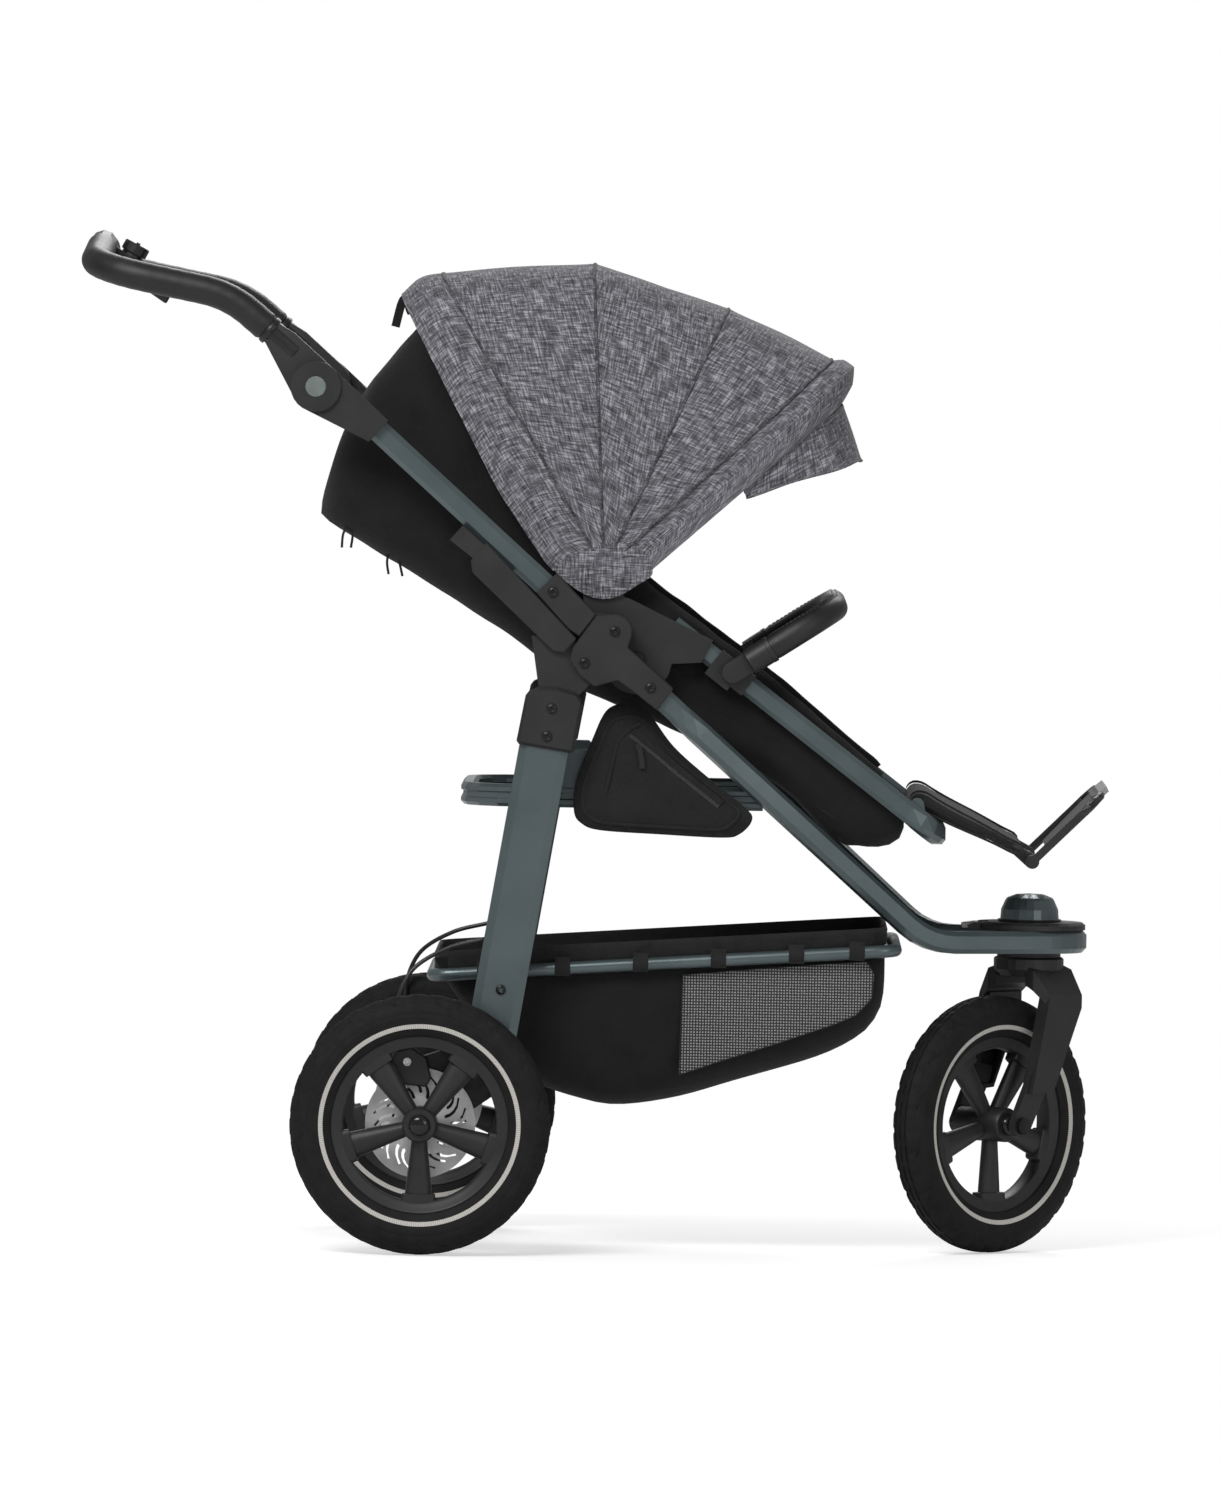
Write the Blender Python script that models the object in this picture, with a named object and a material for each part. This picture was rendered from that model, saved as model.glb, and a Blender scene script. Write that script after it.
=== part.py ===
"""Three-wheel stroller, modelled as its separate pieces in Blender.

Metres, +Z up, +X towards the front wheel. Heights are above the floor and X is measured from the
rear axle; one empty then shifts the whole stroller so that it stands centred on the origin.
"""

import math

import bmesh
import bpy
from mathutils import Matrix, Vector

# Driving dimensions

CENTRE_SHIFT = -0.1898
CLEARANCE = 0.0003
SIDES = (("right", -1.0), ("left", 1.0))

TYRE_RADIUS = 0.150
TYRE_WIDTH = 0.047
BEAD_RADIUS = 0.1015
WHEEL_FACETS = 36
TREAD_FLAT = 0.022
SPOKE_COUNT = 5
HUB_RADIUS = 0.020
AXLE_RADIUS = 0.006
REAR_WHEEL_Y = 0.272
DISC_RADIUS = 0.064
DISC_THICKNESS = 0.0018
DISC_SLOTS = 10

TUBE_HEIGHT = 0.026
TUBE_WIDTH = 0.024
TUBE_BEVEL = 0.0055
FRAME_Y = 0.224
LEG_HEIGHT = 0.057
LEG_BEVEL = 0.0095
LEG_SLOPE = 0.1636
FRAME_SLOPE = 0.900
UPPER_SLOPE = 0.894
HINGE_FACE = 0.2425
SLOT_INNER = 0.2113
SLOT_OUTER = 0.2360
PIN_RADIUS = 0.005
SEAT_Y = 0.190
SEAT_ARM_INNER = 0.1765
SEAT_ARM_OUTER = 0.2035
SEAT_STUB_Y = 0.185
SEAT_STUB_RADIUS = 0.009
TUB_HALF = 0.1762
SEAT_SLOPE = 0.763
SEAT_TUBE_HEIGHT = 0.024
SEAT_TUBE_WIDTH = 0.020
SEAT_FRONT = 0.590

FOLD_PIVOT = (0.214, 0.720)
LEG_PIVOT = (0.180, 0.683)
SEAT_PIVOT = (0.240, 0.687)
CANOPY_PIVOT = (0.200, 0.790)
HANDLE_PIVOT = (-0.135, 0.9955)
BUMPER_PIVOT = (0.350, 0.6745)
BOARD_PIVOT = (0.566, 0.524)
FOOT_PIVOT = (0.701, 0.460)
CASTER_X = 0.702
CASTER_ANGLE = math.radians(45.0)
TRAIL = 0.060

FRAME_POINT = (0.322, 0.5964)
FRAME_LEVEL = 0.3630
LOOP_RADIUS = 0.055
TUBE_START = 0.236
V_START = 0.300
V_ANGLE = math.atan2(FRAME_Y, CASTER_X - V_START) - math.asin(
    LOOP_RADIUS / math.hypot(FRAME_Y, CASTER_X - V_START))
UPPER_POINT = (0.0293, 0.8640)
LEG_POINT = (0.1106, 0.4384)
SEAT_POINT = (0.4555, 0.5932)
UPPER_START = -0.0900
UPPER_END = 0.1650

LOOP_FRONT = 0.388
LOOP_REAR = 0.047
LOOP_LEVEL = 0.527
LOOP_TUBE_WIDTH = 0.018
LOOP_ARM_Y = FRAME_Y - (LOOP_FRONT - V_START) * math.tan(V_ANGLE) - (
    TUBE_WIDTH / 2.0 + CLEARANCE) / math.cos(V_ANGLE) - LOOP_TUBE_WIDTH / 2.0
PLATE_RADIUS = 0.0655
STEM_RADIUS = 0.014
RAIL_Y = 0.172
RAIL_RADIUS = 0.0075
CLIP_Y = 0.110
BAG_INNER_GAP = 0.002816
BAG_OUTER_GAP = 0.0050
LEG_LOW = 0.205
LEG_TOP = 0.632
BEAM_END = 0.215
CAP_SEAT = 0.0170
AXLE_END = REAR_WHEEL_Y + CAP_SEAT + 0.001
DISC_Y = 0.2425
CALIPER_INNER = 0.2373
CALIPER_OUTER = 0.2540

HUB_FACE = 0.2490
HUB_PLATE_RADIUS = 0.029
BUTTON_RADIUS = 0.0121
BAR_RADIUS = 0.0145
GRIP_WALL = 0.0025
HOUSING_WALL = 0.0017
BAR_START = (-0.160, 1.0346)
BAR_BEND = (-0.236, 1.0986)
BAR_CORNER = (-0.394, 1.1293)
BAR_MIDDLE = (-0.391, 1.1580)
BAR_Y = 0.224
DIAL_CENTRE = (-0.3545, 1.1500)
DIAL_RADIUS = 0.0155
DIAL_TILT = math.radians(28.0)
LEVER_PIVOT = (-0.3660, 1.1270)
BUMPER_Y = 0.2190
BUMPER_RADIUS = 0.0145
BUMPER_TOP = (0.467, 0.750)
FOOT_FRAME_Y = 0.146
CANOPY_OUTER = 0.2070
CANOPY_WALL = 0.003
CANOPY_HUB_RADIUS = 0.024
CANOPY_BOWS = (120.0, 93.0, 65.5, 43.5)
CANOPY_REACH = ((128.5, 0.3930), (120.0, 0.3920), (108.0, 0.3620), (93.0, 0.3515),
                (79.5, 0.3315), (65.5, 0.3315), (54.5, 0.3385), (43.5, 0.3560))


# Scene and materials

def clear_scene():
    for item in list(bpy.data.objects):
        bpy.data.objects.remove(item, do_unlink=True)


def make_material(name, colour, roughness, metallic=0.0):
    material = bpy.data.materials.new(name)
    material.use_nodes = True
    shader = material.node_tree.nodes["Principled BSDF"]
    shader.inputs["Base Color"].default_value = (*colour, 1.0)
    shader.inputs["Roughness"].default_value = roughness
    shader.inputs["Metallic"].default_value = metallic
    return material


clear_scene()

FRAME_PAINT = make_material("frame_paint", (0.090, 0.125, 0.132), 0.32, 0.75)
BLACK_PLASTIC = make_material("black_plastic", (0.030, 0.030, 0.031), 0.55)
DARK_PLASTIC = make_material("dark_plastic", (0.012, 0.012, 0.013), 0.45)
BLACK_STEEL = make_material("black_steel", (0.018, 0.018, 0.019), 0.40, 0.6)
BRIGHT_STEEL = make_material("bright_steel", (0.62, 0.62, 0.60), 0.30, 1.0)
TYRE_RUBBER = make_material("tyre_rubber", (0.014, 0.014, 0.015), 0.80)
GRIP_LEATHER = make_material("grip_leather", (0.020, 0.020, 0.021), 0.62)
BUTTON_GREEN = make_material("button_grey_green", (0.19, 0.23, 0.21), 0.50)
BLACK_FABRIC = make_material("black_fabric", (0.014, 0.014, 0.015), 0.90)
GREY_FABRIC = make_material("grey_fabric", (0.115, 0.112, 0.130), 0.92)
DARK_FABRIC = make_material("dark_grey_fabric", (0.050, 0.050, 0.055), 0.92)
CABLE_BLACK = make_material("cable_black", (0.012, 0.012, 0.012), 0.50)


# Building helpers

def make_pivot(name, location, parent=None, turn=0.0):
    """An empty on a joint's axis, placed in stroller coordinates."""
    pivot = bpy.data.objects.new(name, None)
    bpy.context.collection.objects.link(pivot)
    world = Matrix.Translation(Vector(location)) @ Matrix.Rotation(turn, 4, "Z")
    pivot["frame"] = [value for row in world for value in row]
    if parent is None:
        pivot.matrix_basis = world
        return pivot
    pivot.parent = parent
    pivot.matrix_basis = frame_of(parent).inverted() @ world
    return pivot


def frame_of(pivot):
    values = list(pivot["frame"])
    return Matrix([values[row * 4:row * 4 + 4] for row in range(4)])


def make_piece(name, bm, material, pivot, local=False):
    """Turn a bmesh into a named object whose origin lies on its pivot."""
    if not local:
        bm.transform(frame_of(pivot).inverted())
    bmesh.ops.recalc_face_normals(bm, faces=bm.faces)
    mesh = bpy.data.meshes.new(name)
    bm.to_mesh(mesh)
    bm.free()
    mesh.materials.append(material)
    mesh.shade_smooth()
    mesh.set_sharp_from_angle(angle=math.radians(32.0))
    piece = bpy.data.objects.new(name, mesh)
    bpy.context.collection.objects.link(piece)
    piece.parent = pivot
    return piece


def boolean(piece, name, bm, operation, local=False):
    """Cut with, or join on, a hidden tool shape that shares the piece's parent."""
    tool = make_piece(name, bm, piece.data.materials[0], piece.parent, local)
    tool.hide_render = True
    tool.display_type = "WIRE"
    modifier = piece.modifiers.new(name, "BOOLEAN")
    modifier.operation = operation
    modifier.solver = "EXACT"
    modifier.object = tool
    return tool


def cut(piece, name, bm, local=False):
    return boolean(piece, "cut_" + name, bm, "DIFFERENCE", local)


def join(piece, name, bm, local=False):
    return boolean(piece, "join_" + name, bm, "UNION", local)


def soften(piece, width, segments=1, angle=35.0):
    modifier = piece.modifiers.new("edge_break", "BEVEL")
    modifier.width = width
    modifier.segments = segments
    modifier.limit_method = "ANGLE"
    modifier.angle_limit = math.radians(angle)
    return modifier


def side_plate(outline, y_low, y_high):
    """A flat plate: an outline of (x, z) points extruded along Y."""
    bm = bmesh.new()
    ring = [bm.verts.new((x, y_low, z)) for x, z in outline]
    face = bm.faces.new(ring)
    extruded = bmesh.ops.extrude_face_region(bm, geom=[face])
    moved = [item for item in extruded["geom"] if isinstance(item, bmesh.types.BMVert)]
    bmesh.ops.translate(bm, verts=moved, vec=(0.0, y_high - y_low, 0.0))
    return bm


def box(low, high):
    outline = [(low[0], low[2]), (high[0], low[2]), (high[0], high[2]), (low[0], high[2])]
    return side_plate(outline, low[1], high[1])


def rod(start, end, radius, sides=12):
    """A round bar between two points."""
    start, end = Vector(start), Vector(end)
    axis = end - start
    bm = bmesh.new()
    bmesh.ops.create_cone(
        bm, cap_ends=True, segments=sides, radius1=radius, radius2=radius, depth=axis.length)
    turn = Vector((0.0, 0.0, 1.0)).rotation_difference(axis.normalized())
    bm.transform(Matrix.Translation((start + end) / 2.0) @ turn.to_matrix().to_4x4())
    return bm


def turned(profile, centre, axis="Y", steps=32, closed=True):
    """Spin a profile of (radius, offset along the axis) about an axis through the centre."""
    bm = bmesh.new()
    rings = []
    for step in range(steps):
        angle = 2.0 * math.pi * (step + 0.5) / steps
        ring = []
        for radius, offset in profile:
            a, b = radius * math.sin(angle), -radius * math.cos(angle)
            point = (a, offset, b) if axis == "Y" else (a, b, offset)
            ring.append(bm.verts.new(Vector(point) + Vector(centre)))
        rings.append(ring)
    count = len(profile)
    last = count if closed else count - 1
    for step in range(steps):
        here, there = rings[step], rings[(step + 1) % steps]
        for index in range(last):
            after = (index + 1) % count
            bm.faces.new((here[index], here[after], there[after], there[index]))
    bmesh.ops.remove_doubles(bm, verts=bm.verts, dist=0.000001)
    bmesh.ops.dissolve_degenerate(bm, edges=bm.edges, dist=0.000001)
    return bm


def arc_points(centre, radius, start_degrees, end_degrees, steps):
    points = []
    for step in range(steps + 1):
        angle = math.radians(start_degrees + (end_degrees - start_degrees) * step / steps)
        points.append((centre[0] + radius * math.cos(angle), centre[1] + radius * math.sin(angle)))
    return points


def hull(points):
    """Convex outline round a set of (x, z) points."""
    ordered = sorted(set((round(x, 6), round(z, 6)) for x, z in points))

    def chain(sequence):
        out = []
        for point in sequence:
            while len(out) > 1 and turn_of(out[-2], out[-1], point) <= 0.0:
                out.pop()
            out.append(point)
        return out[:-1]

    return chain(ordered) + chain(reversed(ordered))


def turn_of(a, b, c):
    return (b[0] - a[0]) * (c[1] - a[1]) - (b[1] - a[1]) * (c[0] - a[0])


def rounded_path(points, radii, steps):
    """Points along a polyline whose corners are bent to the given radii."""
    path = [Vector(points[0])]
    for index in range(1, len(points) - 1):
        before, corner, after = (Vector(points[index + offset]) for offset in (-1, 0, 1))
        way_in = (corner - before).normalized()
        way_out = (after - corner).normalized()
        bend = way_in.angle(way_out)
        radius, count = radii[index - 1], steps[index - 1]
        if radius == 0.0 or bend < 0.001:
            path.append(corner)
            continue
        reach = radius * math.tan(bend / 2.0)
        start = corner - way_in * reach
        across = (way_out - way_in * way_in.dot(way_out)).normalized()
        centre = start + across * radius
        for step in range(count + 1):
            angle = bend * step / count
            path.append(centre - across * radius * math.cos(angle) + way_in * radius * math.sin(angle))
    path.append(Vector(points[-1]))
    return path


def sweep(path, profile, closed=False, upright=None):
    """Carry a profile of (across, up) points along a path, its across axis kept level."""
    bm = bmesh.new()
    rings = []
    count = len(path)
    across = Vector((0.0, 1.0, 0.0))
    for index, point in enumerate(path):
        if closed:
            ahead = path[(index + 1) % count] - path[index - 1]
        else:
            ahead = path[min(index + 1, count - 1)] - path[max(index - 1, 0)]
        ahead.normalize()
        if upright is None:
            level = Vector((-ahead.y, ahead.x, 0.0))
            if level.length > 0.05:
                across = level.normalized()
            side = across
        else:
            side = Vector(upright).cross(ahead).normalized()
        up = ahead.cross(side).normalized()
        rings.append([bm.verts.new(point + side * a + up * b) for a, b in profile])
    spans = count if closed else count - 1
    for index in range(spans):
        here, there = rings[index], rings[(index + 1) % count]
        for step in range(len(profile)):
            after = (step + 1) % len(profile)
            bm.faces.new((here[step], here[after], there[after], there[step]))
    if not closed:
        bm.faces.new(rings[0])
        bm.faces.new(list(reversed(rings[-1])))
    return bm


def round_profile(radius, sides=10):
    return [(radius * math.cos(2.0 * math.pi * (i + 0.5) / sides),
             radius * math.sin(2.0 * math.pi * (i + 0.5) / sides)) for i in range(sides)]


def bevelled_profile(width, height, bevel_across, bevel_up):
    """A rectangle with its corners cut off, as the stroller's aluminium tubes have."""
    w, h = width / 2.0, height / 2.0
    return [(-w, -h + bevel_up), (-w + bevel_across, -h), (w - bevel_across, -h), (w, -h + bevel_up),
            (w, h - bevel_up), (w - bevel_across, h), (-w + bevel_across, h), (-w, h - bevel_up)]


def along(point, slope, x):
    """The (x, z) place on a sloping centre line at a given x."""
    return x, point[1] - slope * (x - point[0])


def on_side(side, x, y, z):
    return x, side * y, z


def span(side, inner, outer):
    """Low and high Y of a layer between two distances from the middle."""
    return (inner, outer) if side > 0 else (-outer, -inner)


def offset_line(point, slope, x, distance):
    """A point beside a sloping centre line, the distance measured square to it, up positive."""
    angle = math.atan(slope)
    base = along(point, slope, x)
    return base[0] + math.sin(angle) * distance, base[1] + math.cos(angle) * distance


# Pivots: one empty on each joint's axis

STROLLER = make_pivot("stroller", (0.0, 0.0, 0.0))
FRONT = make_pivot("front_frame", (FOLD_PIVOT[0], 0.0, FOLD_PIVOT[1]), STROLLER)
REAR = make_pivot("fold_legs", (LEG_PIVOT[0], 0.0, LEG_PIVOT[1]), STROLLER)
PUSH = make_pivot("fold_handle", (FOLD_PIVOT[0], 0.0, FOLD_PIVOT[1]), STROLLER)
HANDLE = make_pivot("handle_height", (HANDLE_PIVOT[0], 0.0, HANDLE_PIVOT[1]), PUSH)
SEAT = make_pivot("seat_tilt", (SEAT_PIVOT[0], 0.0, SEAT_PIVOT[1]), STROLLER)
FORK = make_pivot("fork_swivel", (CASTER_X, 0.0, FRAME_LEVEL), STROLLER, CASTER_ANGLE)


# Front frame: one tube bent into a long V, its loop round the caster head

def build_front_frame():
    apex = V_START + FRAME_Y / math.tan(V_ANGLE)
    bend_x = FRAME_POINT[0] + (FRAME_POINT[1] - FRAME_LEVEL) / FRAME_SLOPE
    bend_y = (apex - bend_x) * math.tan(V_ANGLE)
    points = []
    for x, y in ((TUBE_START, FRAME_Y), (V_START, FRAME_Y), (bend_x, bend_y)):
        points.append((x, -y, along(FRAME_POINT, FRAME_SLOPE, x)[1]))
    mirrored = [(x, -y, z) for x, y, z in reversed(points)]
    path = rounded_path(
        points + [(apex, 0.0, FRAME_LEVEL)] + mirrored,
        (0.12, 0.09, LOOP_RADIUS, 0.09, 0.12), (2, 4, 12, 4, 2))
    profile = bevelled_profile(TUBE_WIDTH, TUBE_HEIGHT, 0.005, TUBE_BEVEL)
    make_piece("front_frame_tube", sweep(path, profile), FRAME_PAINT, FRONT)


def tube_pocket(point, slope, x_from, x_to, side, height=TUBE_HEIGHT, y=FRAME_Y, gap=CLEARANCE):
    """The space that a frame tube fills, with its clearance, to cut out of a socket."""
    ends = [(x, side * y, along(point, slope, x)[1]) for x in (x_from, x_to)]
    profile = bevelled_profile(TUBE_WIDTH + 2.0 * gap, height + 2.0 * gap, 0.005, TUBE_BEVEL)
    return sweep([Vector(end) for end in ends], profile)


def build_hinge_plates():
    outline = [
        (0.1925, 0.7385), (0.2010, 0.7380), *arc_points(FOLD_PIVOT, 0.020, 110.0, -20.0, 5),
        (0.2290, 0.7020), (0.2825, 0.6555), (0.2640, 0.6300), (0.2380, 0.6500), (0.2180, 0.6640),
        (0.1910, 0.6560), (0.1740, 0.6690), (0.1625, 0.6860), (0.1650, 0.7000)]
    for label, side in SIDES:
        low, high = span(side, FRAME_Y - 0.0195, HINGE_FACE)
        plate = make_piece("hinge_plate_" + label, side_plate(outline, low, high), BLACK_PLASTIC, FRONT)
        soften(plate, 0.0012)
        low, high = span(side, SLOT_INNER, SLOT_OUTER)
        for name, centre, radius in (("fold_slot", FOLD_PIVOT, 0.0225), ("leg_slot", LEG_PIVOT, 0.0240)):
            cut(plate, name, turned(
                [(0.0, low), (radius, low), (radius, high), (0.0, high)],
                (centre[0], 0.0, centre[1]), steps=16, closed=False))
        cut(plate, "swing_slot", side_plate(
            [(0.150, 0.640), (0.215, 0.640), (0.213, 0.668), (0.204, 0.700), (0.208, 0.745), (0.150, 0.745)],
            low, high))
        cut(plate, "tube_pocket", tube_pocket(FRAME_POINT, FRAME_SLOPE, TUBE_START - 0.0005, 0.330, side))
        pins = (("fold_pin", FOLD_PIVOT, PIN_RADIUS), ("leg_pin", LEG_PIVOT, PIN_RADIUS))
        for name, centre, radius in pins:
            join(plate, name, rod(
                on_side(side, centre[0], FRAME_Y - 0.0175, centre[1]),
                on_side(side, centre[0], HINGE_FACE - 0.002, centre[1]), radius))
        join(plate, "seat_stub", rod(
            on_side(side, SEAT_PIVOT[0], SEAT_STUB_Y, SEAT_PIVOT[1]),
            on_side(side, SEAT_PIVOT[0], FRAME_Y - 0.0180, SEAT_PIVOT[1]), SEAT_STUB_RADIUS))


def build_seat_loop():
    points = [(LOOP_FRONT, -LOOP_ARM_Y, LOOP_LEVEL), (LOOP_REAR, -LOOP_ARM_Y, LOOP_LEVEL),
              (LOOP_REAR, LOOP_ARM_Y, LOOP_LEVEL), (LOOP_FRONT, LOOP_ARM_Y, LOOP_LEVEL)]
    path = rounded_path(points, (0.060, 0.060), (4, 4))
    w, h = LOOP_TUBE_WIDTH / 2.0, 0.013
    profile = [(-w + 0.004, -h), (w - 0.004, -h), (w, -h + 0.004), (w, -0.0045), (w - 0.0025, -0.003),
               (w - 0.0025, 0.003), (w, 0.0045), (w, h - 0.004), (w - 0.004, h), (-w + 0.004, h),
               (-w, h - 0.004), (-w, 0.0045), (-w + 0.0025, 0.003), (-w + 0.0025, -0.003),
               (-w, -0.0045), (-w, -h + 0.004)]
    loop = make_piece("seat_loop_tube", sweep(path, profile), FRAME_PAINT, FRONT)
    for label, side in SIDES:
        low, high = span(side, LOOP_ARM_Y - 0.008, LOOP_ARM_Y + 0.008)
        join(loop, "block_" + label, side_plate(
            [(0.1560, LOOP_LEVEL), (0.1870, LOOP_LEVEL), (0.1870, 0.5780), (0.1830, 0.5820),
             (0.1600, 0.5820), (0.1560, 0.5780)], low, high))


def build_caster_head():
    top = FRAME_LEVEL + TUBE_HEIGHT / 2.0
    low = FRAME_LEVEL - TUBE_HEIGHT / 2.0
    inside = LOOP_RADIUS - TUBE_WIDTH / 2.0 - 0.0008
    housing = [(0.0, top - 0.004), (0.0, low + 0.002), (0.030, low + 0.002), (0.030, low - 0.006),
               (inside - 0.005, low - 0.006), (inside - 0.005, low + 0.002), (inside, low + 0.002),
               (inside, top + CLEARANCE), (PLATE_RADIUS, top + CLEARANCE), (PLATE_RADIUS, top + 0.006),
               (PLATE_RADIUS - 0.004, top + 0.009), (0.0, top + 0.009)]
    bm = turned(housing[1:], (CASTER_X, 0.0, 0.0), "Z", 28, closed=False)
    head = make_piece("caster_housing", bm, BLACK_PLASTIC, FRONT)
    cut(head, "stem_bore", turned(
        [(0.0, low - 0.010), (STEM_RADIUS + CLEARANCE, low - 0.010),
         (STEM_RADIUS + CLEARANCE, top - 0.004), (0.0, top - 0.004)],
        (CASTER_X, 0.0, 0.0), "Z", 16, closed=False))
    tail_x, notch_x = CASTER_X - 0.072, CASTER_X - 0.0485
    tail = side_plate([(tail_x, top + 0.0008), (tail_x + 0.038, top + 0.0008),
                       (tail_x + 0.038, top + 0.0078), (tail_x + 0.006, top + 0.0078),
                       (tail_x, top + 0.0045)], -0.030, 0.030)
    join(head, "plate_tail", tail)
    cut(head, "lever_notch", box((tail_x - 0.002, -0.0155, top - 0.001), (notch_x, 0.0155, top + 0.012)))
    dome_base = top + 0.009 + CLEARANCE
    dome = [(0.0, dome_base), (0.0345, dome_base), (0.0335, dome_base + 0.014), (0.0285, dome_base + 0.025),
            (0.0265, dome_base + 0.0275), (0.0160, dome_base + 0.0315), (0.0, dome_base + 0.0325)]
    make_piece("caster_dome", turned(dome, (CASTER_X, 0.0, 0.0), "Z", 24, closed=False), FRAME_PAINT, FRONT)
    lock = make_pivot("swivel_lock", (notch_x, 0.0, top + 0.0030), STROLLER)
    lever = side_plate([(notch_x - 0.0310, top + 0.0012), (notch_x - 0.0010, top + 0.0012),
                        (notch_x - 0.0010, top + 0.0050), (notch_x - 0.0165, top + 0.0085),
                        (notch_x - 0.0310, top + 0.0065)], -0.0145, 0.0145)
    soften(make_piece("swivel_lock_lever", lever, BRIGHT_STEEL, lock), 0.0008)


# Basket: a steel rail under the frame and a fabric tub hanging inside it

def build_basket():
    corners = [(0.010, 0.3172), (0.5445, 0.3552)]
    ring = [(corners[0][0], -RAIL_Y, corners[0][1]), (corners[1][0], -RAIL_Y, corners[1][1]),
            (corners[1][0], RAIL_Y, corners[1][1]), (corners[0][0], RAIL_Y, corners[0][1])]
    middle = (corners[0][0], 0.0, corners[0][1])
    path = rounded_path([middle, *ring, middle], (0.02, 0.02, 0.02, 0.02), (4, 4, 4, 4))[:-1]
    make_piece("basket_rail", sweep(path, round_profile(RAIL_RADIUS, 10), closed=True), FRAME_PAINT, FRONT)
    outer = [(0.012, 0.337), (0.030, 0.300), (0.095, 0.215), (0.130, 0.190), (0.178, 0.174),
             (0.225, 0.166), (0.293, 0.176), (0.366, 0.198), (0.458, 0.227), (0.505, 0.252),
             (0.525, 0.276), (0.533, 0.306), (0.532, 0.372), (0.400, 0.367), (0.124, 0.350)]
    inner = [(0.022, 0.400), (0.022, 0.333), (0.037, 0.303), (0.101, 0.220), (0.133, 0.196),
             (0.180, 0.180), (0.225, 0.172), (0.292, 0.182), (0.364, 0.204), (0.455, 0.233),
             (0.500, 0.257), (0.519, 0.279), (0.527, 0.306), (0.526, 0.400)]
    width = RAIL_Y - RAIL_RADIUS - 0.0008
    basket = make_piece("basket_fabric", side_plate(outer, -width, width), BLACK_FABRIC, FRONT)
    soften(basket, 0.010, 2, 60.0)
    cut(basket, "basket_inside", side_plate(inner, -width + 0.005, width - 0.005))
    for label, side in SIDES:
        strap = side_plate([(0.5275, 0.3642), (0.5480, 0.3642), (0.5490, 0.3695), (0.5300, 0.3712)],
                           *span(side, CLIP_Y - 0.008, CLIP_Y + 0.008))
        join(basket, "front_strap_" + label, strap)


def build_side_bag():
    outline = [(0.231, 0.638), (0.206, 0.628), (0.187, 0.591), (0.170, 0.546), (0.168, 0.512),
               (0.177, 0.497), (0.201, 0.489), (0.341, 0.483), (0.362, 0.487), (0.377, 0.502),
               (0.371, 0.516), (0.328, 0.549), (0.284, 0.587), (0.253, 0.627)]
    inner = LOOP_ARM_Y + LOOP_TUBE_WIDTH / 2.0 + BAG_INNER_GAP
    outer = FRAME_Y - TUBE_WIDTH / 2.0 - BAG_OUTER_GAP
    bag = make_piece("side_bag", side_plate(outline, -outer, -inner), BLACK_FABRIC, FRONT)
    soften(bag, 0.006, 2, 60.0)


# Rear frame: two wide legs on the lower hinge pin, joined by the axle beam

def leg_pocket(side, z_from, z_to, gap):
    ends = [Vector((LEG_POINT[0] + (z - LEG_POINT[1]) * LEG_SLOPE, side * FRAME_Y, z))
            for z in (z_from, z_to)]
    profile = bevelled_profile(TUBE_WIDTH + 2.0 * gap, LEG_HEIGHT + 2.0 * gap, 0.006, LEG_BEVEL)
    return sweep(ends, profile)


def build_rear_frame():
    for label, side in SIDES:
        leg = leg_pocket(side, LEG_LOW, LEG_TOP, 0.0)
        make_piece("rear_leg_" + label, leg, FRAME_PAINT, REAR)
        low, high = span(side, SLOT_INNER + CLEARANCE, SLOT_OUTER - CLEARANCE)
        cap_low, cap_high = span(side, FRAME_Y - 0.0145, HINGE_FACE - 0.0010)
        cap = make_piece("leg_cap_" + label, side_plate(
            [(0.1022, 0.5890), (0.1685, 0.5785), (0.1790, 0.6380), (0.1720, 0.6480),
             (0.1500, 0.6540), (0.1270, 0.6545), (0.1130, 0.6480)], cap_low, cap_high), BLACK_PLASTIC, REAR)
        soften(cap, 0.0035)
        cut(cap, "leg_pocket", leg_pocket(side, 0.560, LEG_TOP + 0.0005, CLEARANCE))
        tongue = hull([(0.1180, 0.7140), (0.1280, 0.6480), (0.1720, 0.6440), (0.1460, 0.7000)]
                      + arc_points(LEG_PIVOT, 0.0215, 0.0, 360.0, 16))
        join(cap, "leg_bracket", side_plate(tongue, low, high))
        cut(cap, "pin_hole", rod(
            on_side(side, LEG_PIVOT[0], 0.200, LEG_PIVOT[1]),
            on_side(side, LEG_PIVOT[0], 0.260, LEG_PIVOT[1]), PIN_RADIUS + CLEARANCE))
    beam = make_piece("rear_axle", rod(
        (0.0, -BEAM_END, TYRE_RADIUS), (0.0, BEAM_END, TYRE_RADIUS), 0.0125, 16), BLACK_STEEL, REAR)
    join(beam, "stub_axles", rod(
        (0.0, -AXLE_END, TYRE_RADIUS), (0.0, AXLE_END, TYRE_RADIUS), AXLE_RADIUS))
    foot_x = LEG_POINT[0] + (LEG_LOW - LEG_POINT[1]) * LEG_SLOPE
    bracket = hull(arc_points((0.0, TYRE_RADIUS), 0.021, 0.0, 360.0, 12) + [
        (foot_x - 0.034, LEG_LOW + 0.034), (foot_x + 0.033, LEG_LOW + 0.030),
        (foot_x + 0.026, LEG_LOW - 0.012), (foot_x - 0.020, LEG_LOW - 0.034), (-0.012, 0.222)])
    for label, side in SIDES:
        y_low, y_high = span(side, FRAME_Y - 0.0145, FRAME_Y + 0.0130)
        join(beam, "axle_bracket_" + label, side_plate(bracket, y_low, y_high))
        cut(beam, "leg_seat_" + label, leg_pocket(side, LEG_LOW - 0.0005, LEG_LOW + 0.080, CLEARANCE))


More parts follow.
